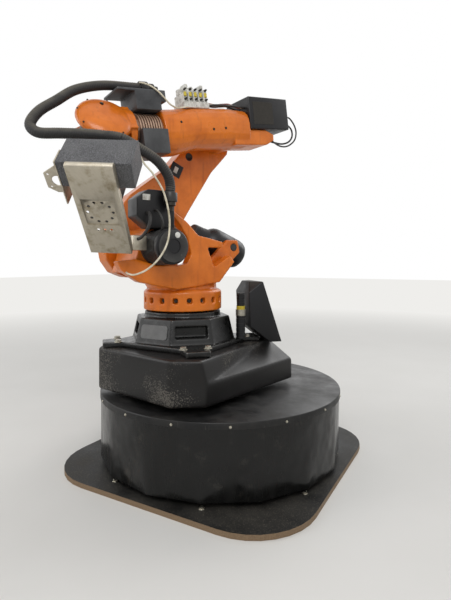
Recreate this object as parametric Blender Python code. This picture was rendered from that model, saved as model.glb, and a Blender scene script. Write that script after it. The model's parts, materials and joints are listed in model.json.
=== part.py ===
"""Six-axis industrial robot with a plate tool, on a drum pedestal and a floor plate.

World frame: the origin is the centre of the floor plate's underside and +Z is up.
Robot frames: +X points forward along the robot, +Y to its left, +Z up.
Every joint has an empty on its axis, and the pieces it moves hang from that empty.
Tables of shares are outlines, each in shares of the sizes named where they are used.
"""

import math

import bmesh
import bpy
from mathutils import Matrix, Vector

for old in list(bpy.data.objects):
    bpy.data.objects.remove(old)

# Gaps and cuts
SEAT = 0.0003
OVERRUN = 0.02
RUN_GAP = 0.006

# Floor plate and drum
PLATE_SIDE = 2.0
PLATE_CORNER = 0.45
PLATE_THICK = 0.035
DRUM_RADIUS = 0.965
DRUM_SHEET = 0.006
DRUM_SIDES = 16
DRUM_STEPS = 4
DRUM_TOP_Z = 0.585
DRUM_TOP_THICK = 0.012
DRUM_LIP = 0.045
SKIRT_GAP = 0.04
CORE_RADIUS = 0.78

# Riser block
SPACER_HALF = 0.36
SPACER_HIGH = 0.035
RISER_HALF_WIDE = 0.50
RISER_HALF_LONG = 0.56
RISER_HIGH = 0.315
LEDGE_HIGH = 0.16
RISER_EDGE = 0.012

# Robot base
A1_PLACE = Vector((-0.20, -0.26, 0))
A1_HEADING = 244.5
FOOT_THICK = 0.04
FOOT_REACH = 0.50
FOOT_INSET = 0.12
BASE_SIDE = 0.41
BODY_LOW = 0.39
BODY_HIGH = 0.345
SHOULDER_RISE = 0.225
NECK_RISE = 0.265
NECK_RADIUS = 0.30
WINDOW_WIDE = 0.24
WINDOW_HIGH = 0.085
WINDOW_RISE = 0.13
WINDOW_DEEP = 0.09
PANEL_THICK = 0.004
HOOD_HALF_WIDE = 0.18
HOOD_HIGH = 0.488
HOOD_NEAR = 0.50
HOOD_LONG = 0.28
PLUG_RADIUS = 0.04
PLUG_HIGH = 0.36
PLUG_REACH = 0.43

# Rotating column
RING_GAP = 0.01
BEARING_SHARE = 0.8
RING_RADIUS = 0.31
RING_HIGH = 0.16
POCKETS = 18
POCKET_SIDE = 0.04
POCKET_DEEP = 0.035
A2_OFFSET = 0.35
A2_RISE = 0.315
CHEEK_NEAR = 0.28
CHEEK_THICK = 0.085
BOWL_FAR = 0.13
HUB_RADIUS = 0.145
MOTOR_RADIUS = 0.125
MOTOR_LONG = 0.26
PLUG_BLOCK = 0.10
JUNCTION_LONG = 0.34
JUNCTION_HIGH = 0.26

# Counterbalance
TRUNNION_BACK = 0.73
TRUNNION_RISE = 0.015
EYE_REACH = 0.30
CYLINDER_RADIUS = 0.125
CYLINDER_REAR = 0.20
CYLINDER_FRONT = 0.33
ROD_REAR = 0.06
ROD_TRAVEL = 0.09
ROD_RADIUS = 0.03
EYE_RADIUS = 0.05
EYE_HALF = 0.035
PIN_RADIUS = 0.03
PIN_GAP = 0.001
BEARER_THICK = 0.045
LUG_RADIUS = 0.055
LUG_THICK = 0.03

# Link arm
LINK_LEAN = 38.0
LINK_LONG = 1.25
LINK_SWING = 0.235
LINK_NEAR = 0.185
LINK_THICK = 0.17
COVER_RADIUS = 0.20
COVER_THICK = 0.05
CLAMP_REACH = 0.44

# Arm
ARM_PITCH = 8.0
ARM_LONG = 1.10
ARM_FRONT = 0.66
ARM_TAIL = 0.43
ARM_HALF_WIDE = 0.165
ARM_HALF_HIGH = 0.18
ELBOW_RADIUS = 0.16
COLLAR_FRONT = 0.87
COLLAR_RADIUS = 0.125
COLLAR_RIBS = 4
RIB_DEEP = 0.012
TROUGH_WIDE = 0.19
BRACKET_TOP = 0.2855
BRACKET_PLATE = 0.018
BRACKET_FRONT = 0.995
BRACKET_REAR = 0.617
MOTOR_BLOCK_LONG = 0.44
MOTOR_BLOCK_HIGH = 0.27
MOTOR_BLOCK_HALF = 0.16
GEAR_RISE = 0.43
GEAR_HIGH = 0.22

# Wrist
ROLL_REST = 37.6
BEND_REST = 58.4
FLANGE_REST = -67.3
DOME_RADIUS = 0.20
FORK_NEAR = 0.095
FORK_THICK = 0.075
HAND_RADIUS = 0.15
HAND_NECK = 0.078
HAND_FRONT = 0.205
FLANGE_RADIUS = 0.08
FLANGE_FRONT = 0.23

# Tool
TOOL_PLANE = 0.88
TOOL_SIDESTEP = 0.205
CHANNEL_WIDE = 0.265
CHANNEL_LONG = 0.66
CHANNEL_DEEP = 0.05
CHANNEL_WALL = 0.008
BOX_WIDE = 0.42
BOX_HIGH = 0.23
BOX_DEEP = 0.17
ADAPTER_HALF = 0.07
ADAPTER_PLATE = 0.02
SIDE_PLATE_WIDE = 0.16
SIDE_PLATE_LONG = 0.30

# Hose and cables
HOSE_RADIUS = 0.035
CABLE_RADIUS = 0.0065
TUBE_STEPS = 3
CLAMP_WALL = 0.014
CLAMP_GAP = 0.0008
CLAMP_LONG = 0.06


def paint(name, red, green, blue, roughness, metallic=0.0):
    """A plain surface of one colour."""
    material = bpy.data.materials.new(name)
    material.use_nodes = True
    surface = material.node_tree.nodes["Principled BSDF"]
    surface.inputs["Base Color"].default_value = (red, green, blue, 1)
    surface.inputs["Roughness"].default_value = roughness
    surface.inputs["Metallic"].default_value = metallic
    return material


ORANGE = paint("orange_paint", 0.80, 0.21, 0.02, 0.4)
BLACK = paint("black_paint", 0.02, 0.02, 0.02, 0.45)
GREY = paint("dark_grey_paint", 0.07, 0.07, 0.075, 0.5)
MOTOR = paint("motor_black", 0.012, 0.012, 0.013, 0.4)
STEEL = paint("worn_black_steel", 0.05, 0.045, 0.04, 0.5, 0.6)
BRIGHT = paint("bare_aluminium", 0.55, 0.54, 0.50, 0.45, 1.0)
RUBBER = paint("hose_rubber", 0.04, 0.04, 0.042, 0.6)
CREAM = paint("cream_cable_jacket", 0.70, 0.64, 0.48, 0.5)
COPPER = paint("worn_collar_finish", 0.25, 0.16, 0.11, 0.5, 0.5)


def axis_empty(name, parent, place, turn=(0, 0, 0)):
    """An empty on a joint's axis, turned by angles in degrees about X, Y and Z."""
    empty = bpy.data.objects.new(name, None)
    bpy.context.scene.collection.objects.link(empty)
    empty.parent = parent
    empty.location = place
    empty.rotation_euler = [math.radians(angle) for angle in turn]
    return empty


def solid(name, shape, material, parent):
    """Puts a bmesh into the scene as a named object that hangs from an empty."""
    bmesh.ops.recalc_face_normals(shape, faces=shape.faces)
    mesh = bpy.data.meshes.new(name)
    shape.to_mesh(mesh)
    shape.free()
    mesh.materials.append(material)
    made = bpy.data.objects.new(name, mesh)
    bpy.context.scene.collection.objects.link(made)
    made.parent = parent
    return made


def change(target, tool, operation):
    """Adds a Boolean to a solid and hides the tool that shapes it."""
    tool.hide_render = True
    tool.display_type = "WIRE"
    step = target.modifiers.new(tool.name, "BOOLEAN")
    step.operation = operation
    step.object = tool


def carve(target, shape):
    """Cuts a shape out of a solid."""
    change(target, solid(target.name + "_cutter", shape, MOTOR, target.parent), "DIFFERENCE")


def fuse(target, shape):
    """Joins a shape to a solid."""
    change(target, solid(target.name + "_part", shape, MOTOR, target.parent), "UNION")


def soften(target, width, segments=1):
    """Rounds the sharp edges of a solid."""
    step = target.modifiers.new("soft_edges", "BEVEL")
    step.width = width
    step.segments = segments
    step.limit_method = "ANGLE"
    step.angle_limit = math.radians(40)


def skin(rings, closed=False):
    """A closed shape through rings of points, all of the same count."""
    shape = bmesh.new()
    made = [[shape.verts.new(point) for point in ring] for ring in rings]
    pairs = list(zip(made, made[1:]))
    if closed:
        pairs.append((made[-1], made[0]))
    for low, high in pairs:
        for index in range(len(low)):
            follow = (index + 1) % len(low)
            shape.faces.new((low[index], low[follow], high[follow], high[index]))
    if not closed:
        shape.faces.new(list(reversed(made[0])))
        shape.faces.new(made[-1])
    return shape


def spread(points, along, level):
    """Lifts flat points to a level along X, Y or Z."""
    if along == "X":
        return [Vector((level, u, v)) for u, v in points]
    if along == "Y":
        return [Vector((u, level, v)) for u, v in points]
    return [Vector((u, v, level)) for u, v in points]


def prism(points, along, low, high):
    """An outline extruded along one axis."""
    return skin([spread(points, along, low), spread(points, along, high)])


def box(low, high):
    """A box between two corners."""
    corners = [(low[0], low[1]), (high[0], low[1]), (high[0], high[1]), (low[0], high[1])]
    return prism(corners, "Z", low[2], high[2])


def circle(radius, count, centre=(0, 0), start=0.0):
    """Points around a circle, the first at the start angle in degrees."""
    angles = [math.radians(start) + math.tau * step / count for step in range(count)]
    return [
        (centre[0] + radius * math.cos(angle), centre[1] + radius * math.sin(angle))
        for angle in angles
    ]


def rod(radius, along, low, high, centre=(0, 0), count=24):
    """A round bar along one axis."""
    return prism(circle(radius, count, centre), along, low, high)


def turned(profile, along, count, centre=(0, 0), closed=False):
    """A profile of radii and levels turned about an axis, closed on itself or by flat ends."""
    rings = [spread(circle(radius, count, centre), along, level) for radius, level in profile]
    return skin(rings, closed)


def outline(shares, across, up, centre=(0, 0)):
    """An outline from shares of two sizes, about a centre."""
    return [(centre[0] + u * across, centre[1] + v * up) for u, v in shares]


def rounded(corners, radius, steps=4):
    """An outline with its corners rounded."""
    points = []
    for index, corner in enumerate(corners):
        here = Vector(corner)
        back = (Vector(corners[index - 1]) - here).normalized()
        ahead = (Vector(corners[(index + 1) % len(corners)]) - here).normalized()
        half = back.angle(ahead) / 2
        centre = here + (back + ahead).normalized() * radius / math.sin(half)
        start = here + back * radius / math.tan(half) - centre
        end = here + ahead * radius / math.tan(half) - centre
        swing = start.angle_signed(end)
        for step in range(steps + 1):
            points.append(tuple(centre + Matrix.Rotation(-swing * step / steps, 2) @ start))
    return points


def rectangle(half_wide, half_high, centre=(0, 0)):
    """Four corners about a centre."""
    unit_shares = [(-1, -1), (1, -1), (1, 1), (-1, 1)]
    return outline(unit_shares, half_wide, half_high, centre)


def oval(half_wide, half_high, centre, count, square):
    """A rounded rectangle as one smooth ring: the higher the square, the fuller its corners."""
    points = []
    for step in range(count):
        angle = math.tau * (step + 0.5) / count
        cosine = math.cos(angle)
        sine = math.sin(angle)
        size = (abs(cosine) ** square + abs(sine) ** square) ** (-1 / square)
        points.append((centre[0] + half_wide * cosine * size, centre[1] + half_high * sine * size))
    return points


def hull(points):
    """The convex body around some points."""
    shape = bmesh.new()
    for point in points:
        shape.verts.new(point)
    result = bmesh.ops.convex_hull(shape, input=shape.verts)
    inner = [item for item in result["geom_interior"] if isinstance(item, bmesh.types.BMVert)]
    bmesh.ops.delete(shape, geom=inner, context="VERTS")
    return shape


def gather(shapes):
    """Several shapes that don't touch, as one."""
    whole = bmesh.new()
    for shape in shapes:
        spare = bpy.data.meshes.new("spare")
        shape.to_mesh(spare)
        shape.free()
        whole.from_mesh(spare)
        bpy.data.meshes.remove(spare)
    return whole


def smooth_path(points):
    """A smooth run of points through hand-chosen ones."""
    path = [Vector(point) for point in points]
    path = [2 * path[0] - path[1]] + path + [2 * path[-1] - path[-2]]
    run = []
    for index in range(1, len(path) - 2):
        before, start, end, after = path[index - 1 : index + 3]
        for step in range(TUBE_STEPS):
            share = step / TUBE_STEPS
            linear = (end - before) * share
            square = (2 * before - 5 * start + 4 * end - after) * share**2
            cube = (3 * start - before - 3 * end + after) * share**3
            run.append(start + (linear + square + cube) / 2)
    run.append(path[-2])
    return run


def tube(name, points, radius, material, parent):
    """A hose or cable along hand-chosen points."""
    curve = bpy.data.curves.new(name, "CURVE")
    curve.dimensions = "3D"
    curve.bevel_depth = radius
    curve.bevel_resolution = 2
    curve.use_fill_caps = True
    run = smooth_path(points)
    line = curve.splines.new("POLY")
    line.points.add(len(run) - 1)
    for spot, point in zip(line.points, run):
        spot.co = (*point, 1)
    curve.materials.append(material)
    made = bpy.data.objects.new(name, curve)
    bpy.context.scene.collection.objects.link(made)
    made.parent = parent
    return made


def clamp_ring(name, centre, direction, radius, length, material, parent):
    """A short sleeve around a hose, open along its bore."""
    profile = [
        (radius + CLAMP_GAP, -length / 2),
        (radius + CLAMP_WALL, -length / 2),
        (radius + CLAMP_WALL, length / 2),
        (radius + CLAMP_GAP, length / 2),
    ]
    shape = turned(profile, "Z", 20, closed=True)
    shape.transform(Matrix.Translation(centre) @ direction.to_track_quat("Z", "Y").to_matrix().to_4x4())
    return solid(name, shape, material, parent)


# Axes
RISER_Z = DRUM_TOP_Z + SPACER_HIGH
BASE_Z = RISER_Z + RISER_HIGH
RING_LOW_Z = BASE_Z + NECK_RISE + RING_GAP
RING_TOP_Z = RING_LOW_Z + RING_HIGH
A2_PLACE = Vector((A2_OFFSET, 0, RING_TOP_Z + A2_RISE))
TRUNNION_PLACE = A2_PLACE + Vector((-TRUNNION_BACK, 0, TRUNNION_RISE))
lean = math.radians(LINK_LEAN)
EYE_PLACE = A2_PLACE + EYE_REACH * Vector((-math.sin(lean), 0, math.cos(lean)))
EYE_RUN = EYE_PLACE - TRUNNION_PLACE
CYLINDER_TILT = -math.degrees(math.atan2(EYE_RUN.z, EYE_RUN.x))

ground = axis_empty("ground", None, (0, 0, 0))
base_axes = axis_empty("base_axes", ground, A1_PLACE)
a1 = axis_empty("a1_axis", ground, A1_PLACE, (0, 0, A1_HEADING))
a2 = axis_empty("a2_axis", a1, A2_PLACE, (0, -LINK_LEAN, 0))
balancer = axis_empty("balancer_axis", a1, TRUNNION_PLACE, (0, CYLINDER_TILT, 0))
a3 = axis_empty("a3_axis", a2, (0, 0, LINK_LONG), (0, LINK_LEAN + ARM_PITCH, 0))
a4 = axis_empty("a4_axis", a3, (ARM_LONG, 0, 0), (ROLL_REST, 0, 0))
a5 = axis_empty("a5_axis", a4, (0, 0, 0), (0, BEND_REST, 0))
a6 = axis_empty("a6_axis", a5, (0, 0, 0), (FLANGE_REST, 0, 0))

# Floor plate
plate_outline = rounded(rectangle(PLATE_SIDE / 2, PLATE_SIDE / 2), PLATE_CORNER, 8)
solid("floor_plate", prism(plate_outline, "Z", 0, PLATE_THICK), STEEL, ground)

# Drum: a closed core, a sheet skirt that turns from flats to a circle, and a lipped lid
core_low = PLATE_THICK + SEAT
core_high = DRUM_TOP_Z - DRUM_TOP_THICK - SEAT
solid("drum_core", rod(CORE_RADIUS, "Z", core_low, core_high, count=32), STEEL, ground)


def skirt_ring(radius, level, flat_share):
    """A ring between a circle, at share zero, and a polygon with flat sides, at share one."""
    corner = math.tau / DRUM_SIDES
    points = []
    for step in range(DRUM_SIDES * DRUM_STEPS):
        angle = math.tau * step / (DRUM_SIDES * DRUM_STEPS)
        flat = radius * math.cos(corner / 2) / math.cos(angle % corner - corner / 2)
        reach = radius + (flat - radius) * flat_share
        points.append(Vector((reach * math.cos(angle), reach * math.sin(angle), level)))
    return points


lid_inside = DRUM_RADIUS - DRUM_SHEET
skirt_out = lid_inside - SEAT
skirt_in = skirt_out - DRUM_SHEET
skirt_low = PLATE_THICK + SKIRT_GAP
skirt_rings = [
    skirt_ring(skirt_in, skirt_low, 1),
    skirt_ring(skirt_out, skirt_low, 1),
    skirt_ring(skirt_out, core_high, 0),
    skirt_ring(skirt_in, core_high, 0),
]
solid("drum_skirt", skin(skirt_rings, closed=True), BLACK, ground)
lid_count = DRUM_SIDES * DRUM_STEPS
lid = solid("drum_top", rod(DRUM_RADIUS, "Z", DRUM_TOP_Z - DRUM_LIP, DRUM_TOP_Z, count=lid_count), BLACK, ground)
lid_low = DRUM_TOP_Z - DRUM_LIP - OVERRUN
carve(lid, rod(lid_inside, "Z", lid_low, DRUM_TOP_Z - DRUM_TOP_THICK, count=lid_count))

# Riser block, wider toward its rear right corner below a ledge
spacer_outline = rounded(rectangle(SPACER_HALF, SPACER_HALF), SPACER_HALF / 3, 3)
solid("riser_spacer", prism(spacer_outline, "Z", DRUM_TOP_Z + SEAT, RISER_Z - SEAT), STEEL, base_axes)
RISER_LOW_SHARES = [(-0.88, -0.86), (0.63, -1.09), (1.04, -0.86), (1.45, 0.95), (1.4, 1), (-0.92, 1), (-0.96, -0.75)]
RISER_TOP_SHARES = [(-0.88, -0.86), (0.63, -1.09), (1, -0.91), (1, 0.95), (0.98, 1), (-0.92, 1), (-0.96, -0.75)]
riser_low = outline(RISER_LOW_SHARES, RISER_HALF_WIDE, RISER_HALF_LONG)
riser_top = outline(RISER_TOP_SHARES, RISER_HALF_WIDE, RISER_HALF_LONG)
riser_rings = [
    spread(riser_low, "Z", RISER_Z),
    spread(riser_low, "Z", RISER_Z + LEDGE_HIGH),
    spread(riser_top, "Z", BASE_Z),
]
riser = solid("riser_block", skin(riser_rings), STEEL, base_axes)
soften(riser, RISER_EDGE, 2)

# Robot base: a foot plate with four corner feet, an eight-sided flared body and a round neck
foot_low = BASE_Z + SEAT
foot_top = foot_low + FOOT_THICK
foot_near = FOOT_REACH - FOOT_INSET
quarter_points = [
    (BASE_SIDE, -foot_near + FOOT_INSET),
    (BASE_SIDE, foot_near - FOOT_INSET),
    (FOOT_REACH, foot_near),
    (foot_near, FOOT_REACH),
]
foot_outline = []
for quarter in range(4):
    spin = Matrix.Rotation(math.tau * quarter / 4, 2)
    foot_outline += [tuple(spin @ Vector(point)) for point in quarter_points]
base = solid("base_frame", prism(foot_outline, "Z", foot_low, foot_top), BLACK, base_axes)


def octagon(flat, level):
    """Eight sides at one distance from the axis, the first facing +X."""
    return spread(circle(flat / math.cos(math.tau / 16), 8, start=22.5), "Z", level)


body_low = foot_top - FOOT_THICK / 2
shoulder_z = BASE_Z + SHOULDER_RISE
neck_z = BASE_Z + NECK_RISE
fuse(base, skin([octagon(BODY_LOW, body_low), octagon(BODY_HIGH, shoulder_z)]))
fuse(base, rod(NECK_RADIUS, "Z", shoulder_z - FOOT_THICK, neck_z, count=32))
bearing_radius = NECK_RADIUS * BEARING_SHARE
fuse(base, rod(bearing_radius, "Z", neck_z - FOOT_THICK, neck_z + RING_GAP - SEAT, count=32))
window_z = BASE_Z + WINDOW_RISE
for quarter in range(4):
    cutter = box(
        (BODY_LOW - WINDOW_DEEP, -WINDOW_WIDE / 2, window_z - WINDOW_HIGH / 2),
        (BODY_LOW + OVERRUN, WINDOW_WIDE / 2, window_z + WINDOW_HIGH / 2),
    )
    cutter.transform(Matrix.Rotation(math.tau * (quarter + 0.5) / 4, 4, "Z"))
    carve(base, cutter)

# Blank cover on the base's front face, lying on the flared wall
wall_rise = shoulder_z - body_low
wall_tilt = math.atan2(BODY_LOW - BODY_HIGH, wall_rise)
wall_out = BODY_LOW - (BODY_LOW - BODY_HIGH) * (window_z - body_low) / wall_rise
cover_outline = rounded(rectangle(WINDOW_WIDE / 2, WINDOW_HIGH * 0.6), WINDOW_HIGH / 4, 3)
cover_shape = prism(cover_outline, "X", SEAT, PANEL_THICK)
cover_place = Matrix.Rotation(-math.tau / 4, 4, "Z") @ Matrix.Translation((wall_out, 0, window_z))
cover_shape.transform(cover_place @ Matrix.Rotation(-wall_tilt, 4, "Y"))
solid("base_cover_panel", cover_shape, GREY, base_axes)

# Terminal box on the rear corner, with the supply plug beside it
hood_axes = axis_empty("hood_axes", base_axes, (0, 0, 0), (0, 0, 45))
HOOD_SHARES = [(0.64, 0.0), (1.0, 0.0), (0.43, 1.0), (0.1, 1.0), (0.0, 0.82), (0.04, 0.27)]
HOOD_WIDTH_SHARES = [1, 1, 1, 0.55, 1, 1]
hood_side = outline(HOOD_SHARES, HOOD_LONG, HOOD_HIGH, (HOOD_NEAR, foot_low))
hood_rings = []
for side in (-1, 1):
    ring = [Vector((u, side * HOOD_HALF_WIDE * wide, v)) for (u, v), wide in zip(hood_side, HOOD_WIDTH_SHARES)]
    hood_rings += ring
terminal_box = solid("terminal_box", hull(hood_rings), GREY, hood_axes)
plug_low = foot_top + SEAT
plug_centre = (PLUG_REACH, -HOOD_HALF_WIDE)
solid("supply_plug", rod(PLUG_RADIUS, "Z", plug_low, plug_low + PLUG_HIGH, plug_centre, 16), GREY, hood_axes)

# Rotating column: a ring with bolt pockets, a bowl, and cheeks that carry the link arm and cylinder
ring_profile = [
    (RING_RADIUS, RING_LOW_Z),
    (RING_RADIUS, RING_TOP_Z - POCKET_SIDE / 2),
    (RING_RADIUS - POCKET_SIDE / 2, RING_TOP_Z),
]
column = solid("rotating_column", turned(ring_profile, "Z", 36), ORANGE, a1)


def bowl_ring(front_share, rear_share, far_share, near_share, rise_share, square):
    """One level of the bowl, from shares of the column's offset, cheek, bowl and rise."""
    front = A2_OFFSET * front_share
    rear = -A2_OFFSET * rear_share
    far = -BOWL_FAR * far_share
    near = CHEEK_NEAR * near_share
    centre = ((front + rear) / 2, (far + near) / 2)
    ring = oval((front - rear) / 2, (near - far) / 2, centre, 24, square)
    return spread(ring, "Z", RING_TOP_Z + A2_RISE * rise_share)


bowl_rings = [
    bowl_ring(0.77, 0.77, 2.0, 0.96, -0.06, 2.0),
    bowl_ring(0.94, 0.72, 1.8, 0.96, 0.22, 2.3),
    bowl_ring(1.48, 0.57, 1.15, 0.97, 0.48, 3.0),
    bowl_ring(1.57, 0.46, 1.0, 0.94, 0.60, 3.5),
]
fuse(column, skin(bowl_rings))
cheek_far = CHEEK_NEAR - CHEEK_THICK
column_base = (0, RING_TOP_Z)
CHEEK_SHARES = [
    (0.57, 0.03), (1.43, 0.22), (1.8, 0.48), (1.89, 0.68), (1.49, 0.73), (1.06, 0.6), (0.63, 0.57), (0.34, 0.63),
    (0.24, 0.86), (0.34, 1.24), (0.54, 1.56), (0.76, 1.81), (0.73, 1.89), (0.34, 1.6), (0.06, 1.3), (-0.24, 1.24),
    (-0.57, 1.16), (-0.57, 1.02), (-0.17, 1.02), (-0.34, 0.54), (-0.77, 0.83), (-0.89, 0.67), (-0.49, 0.17),
]
fuse(column, prism(outline(CHEEK_SHARES, A2_OFFSET, A2_RISE, column_base), "Y", cheek_far, CHEEK_NEAR))
a2_centre = (A2_PLACE.x, A2_PLACE.z)
hub_far = -LINK_NEAR + RUN_GAP
motor_seat = CHEEK_NEAR - CHEEK_THICK / 2
fuse(column, rod(HUB_RADIUS, "Y", hub_far, motor_seat, a2_centre, 28))
hub_seat = -LINK_NEAR + SEAT
fuse(column, rod(HUB_RADIUS * BEARING_SHARE, "Y", hub_seat, motor_seat, a2_centre, 28))
WEB_SHARES = [(0.45, 0.41), (1.54, 0.41), (1.38, 1.02), (0.62, 1.02)]
web_far = hub_far + LUG_THICK
fuse(column, prism(outline(WEB_SHARES, A2_OFFSET, A2_RISE, column_base), "Y", web_far, motor_seat))
BEARER_SHARES = [(-0.57, 0.22), (0.14, 0.22), (0.14, 0.51), (-0.29, 0.6), (-0.91, 1.24), (-1.2, 1.24), (-1.26, 0.92)]
bearer_shape = outline(BEARER_SHARES, A2_OFFSET, A2_RISE, column_base)
bearer_near = CYLINDER_RADIUS + RUN_GAP
bearer_far = bearer_near + BEARER_THICK
fuse(column, prism(bearer_shape, "Y", bearer_near, bearer_far))
fuse(column, prism(bearer_shape, "Y", -bearer_far, -bearer_near))
trunnion_centre = (TRUNNION_PLACE.x, TRUNNION_PLACE.z)
trunnion_bore = bearer_far + OVERRUN
carve(column, rod(PIN_RADIUS + PIN_GAP, "Y", -trunnion_bore, trunnion_bore, trunnion_centre, 20))
pocket_z = (RING_LOW_Z + RING_TOP_Z) / 2
pocket_shapes = []
for index in range(POCKETS):
    pocket = box(
        (RING_RADIUS - POCKET_DEEP, -POCKET_SIDE / 2, pocket_z - POCKET_SIDE / 2),
        (RING_RADIUS + OVERRUN, POCKET_SIDE / 2, pocket_z + POCKET_SIDE / 2),
    )
    pocket.transform(Matrix.Rotation(math.tau * (index + 0.5) / POCKETS, 4, "Z"))
    pocket_shapes.append(pocket)
carve(column, gather(pocket_shapes))

# Motor on the link arm's axis, with its plug block, and the black junction box above it
motor_near = motor_seat + SEAT
motor_profile = [
    (MOTOR_RADIUS, motor_near),
    (MOTOR_RADIUS, motor_near + MOTOR_LONG * 0.6),
    (MOTOR_RADIUS * 0.9, motor_near + MOTOR_LONG * 0.65),
    (MOTOR_RADIUS * 0.9, motor_near + MOTOR_LONG),
]
solid("a2_motor", turned(motor_profile, "Y", 24, a2_centre), MOTOR, a1)
plug_rear = A2_PLACE.x + MOTOR_RADIUS + SEAT
plug_low = A2_PLACE.z - PLUG_BLOCK / 4
plug_far = motor_near + RUN_GAP
solid(
    "a2_plug_block",
    box((plug_rear, plug_far, plug_low), (plug_rear + PLUG_BLOCK, plug_far + PLUG_BLOCK, plug_low + PLUG_BLOCK)),
    BRIGHT,
    a1,
)
junction_near = motor_near + MOTOR_LONG * 0.6
junction_low = A2_PLACE.z + MOTOR_RADIUS + SEAT
JUNCTION_SHARES = [(-0.18, 0), (0.35, 0), (0.65, 0.3), (0.65, 0.75), (0.4, 1), (-0.12, 1), (-0.18, 0.9)]
junction_outline = outline(JUNCTION_SHARES, JUNCTION_LONG, JUNCTION_HIGH, (A2_PLACE.x, junction_low))
solid("junction_housing", prism(junction_outline, "Y", motor_near, junction_near), MOTOR, a1)

# Counterbalance cylinder on its trunnions, and its rod
cylinder_profile = [
    (CYLINDER_RADIUS * 0.55, -CYLINDER_REAR),
    (CYLINDER_RADIUS * 0.9, -CYLINDER_REAR * 0.85),
    (CYLINDER_RADIUS, -CYLINDER_REAR * 0.65),
    (CYLINDER_RADIUS, CYLINDER_FRONT * 0.8),
    (CYLINDER_RADIUS * 0.7, CYLINDER_FRONT),
]
cylinder = solid("balancer_cylinder", turned(cylinder_profile, "X", 28), BLACK, balancer)
fuse(cylinder, rod(PIN_RADIUS, "Y", -bearer_far, bearer_far, count=20))
rod_bore = -ROD_REAR - ROD_TRAVEL
carve(cylinder, rod(ROD_RADIUS + PIN_GAP, "X", rod_bore, CYLINDER_FRONT + OVERRUN, count=20))
eye_x = EYE_RUN.length
rod_solid = solid("balancer_rod", rod(ROD_RADIUS, "X", -ROD_REAR, eye_x, count=20), BRIGHT, balancer)
fuse(rod_solid, rod(EYE_RADIUS, "Y", -EYE_HALF, EYE_HALF, (eye_x, 0), 20))

# Link arm, with Z along the link: a curved plate casting on the far side and the lugs for the rod eye
LINK_SHARES = [
    (-0.85, -0.1), (-0.45, -0.165), (0, -0.19), (0.45, -0.165), (0.85, -0.1), (1.08, 0.0), (1.17, 0.12), (1.19, 0.26),
    (1.0, 0.4), (0.72, 0.6), (0.66, 0.84), (0.76, 0.98), (0.55, 1.1), (0, 1.15), (-0.55, 1.1), (-0.79, 1.0),
    (-0.7, 0.8), (-0.85, 0.48), (-1.04, 0.16),
]
link_far = -LINK_NEAR - LINK_THICK
link_outline = outline(LINK_SHARES, LINK_SWING, LINK_LONG)
link = solid("link_arm", prism(link_outline, "Y", link_far, -LINK_NEAR), ORANGE, a2)
lug_low = EYE_HALF + RUN_GAP
eye_centre = (0, EYE_REACH)
fuse(link, rod(LUG_RADIUS, "Y", -LINK_NEAR - OVERRUN, -lug_low, eye_centre, 20))
cover_near = link_far - SEAT
cover_profile = [
    (COVER_RADIUS, cover_near),
    (COVER_RADIUS, cover_near - COVER_THICK / 2),
    (COVER_RADIUS * 0.7, cover_near - COVER_THICK),
]
solid("link_hub_cover", turned(cover_profile, "Y", 28), ORANGE, a2)

# Arm casting, with X along the arm: ovals from the front flange to the elbow, and a low tail
ARM_SHARES = [
    (1.0, 0.97, 1.0, -0.03, 2.0),
    (0.83, 1.0, 1.0, 0.0, 2.1),
    (0.53, 0.97, 0.92, 0.17, 2.2),
    (0.08, 0.97, 0.92, 0.25, 2.4),
    (-0.24, 0.94, 0.87, 0.22, 2.6),
]
arm_rings = []
for long_share, wide_share, high_share, rise_share, square in ARM_SHARES:
    centre = (0, ARM_HALF_HIGH * rise_share)
    ring = oval(ARM_HALF_WIDE * wide_share, ARM_HALF_HIGH * high_share, centre, 24, square)
    arm_rings.append(spread(ring, "X", ARM_FRONT * long_share))
arm = solid("arm_casting", skin(arm_rings), ORANGE, a3)
elbow_far = -LINK_NEAR + RUN_GAP
fuse(arm, rod(ELBOW_RADIUS * BEARING_SHARE, "Y", elbow_far, 0, count=28))
fuse(arm, rod(ELBOW_RADIUS * BEARING_SHARE**2, "Y", hub_seat, 0, count=28))
TAIL_SHARES = [(0.0, -0.62), (0.0, 0.12), (-0.8, 0.12), (-1.0, -0.1), (-1.0, -0.38), (-0.8, -0.6)]
tail_outline = outline(TAIL_SHARES, ARM_TAIL, ARM_HALF_HIGH)
fuse(arm, prism(tail_outline, "Y", -ARM_HALF_WIDE * 0.8, ARM_HALF_WIDE * 0.8))

# Ribbed collar between the arm and the wrist, with its trough, top bracket and hose saddle
collar_profile = [(COLLAR_RADIUS, ARM_FRONT + SEAT)]
rib_pitch = (COLLAR_FRONT - ARM_FRONT) / (COLLAR_RIBS + 1)
for index in range(COLLAR_RIBS):
    start = ARM_FRONT + rib_pitch * (index + 0.5)
    collar_profile += [
        (COLLAR_RADIUS, start),
        (COLLAR_RADIUS + RIB_DEEP, start),
        (COLLAR_RADIUS + RIB_DEEP, start + rib_pitch / 2),
        (COLLAR_RADIUS, start + rib_pitch / 2),
    ]
collar_profile.append((COLLAR_RADIUS, COLLAR_FRONT))
solid("arm_collar", turned(collar_profile, "X", 24), COPPER, a3)
trough_in = COLLAR_RADIUS + RIB_DEEP + SEAT
trough_low = -ARM_HALF_HIGH * 1.05
trough = solid(
    "collar_trough",
    box((ARM_FRONT + SEAT, -trough_in, trough_low), (COLLAR_FRONT - RUN_GAP, TROUGH_WIDE, -RIB_DEEP)),
    GREY,
    a3,
)
carve(trough, rod(trough_in, "X", ARM_FRONT - OVERRUN, COLLAR_FRONT + OVERRUN))
bracket_low = trough_in + SEAT
bracket_step = ARM_HALF_HIGH + OVERRUN
bracket_rear = ARM_FRONT + SEAT
bracket_neck = COLLAR_FRONT - RUN_GAP
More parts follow.
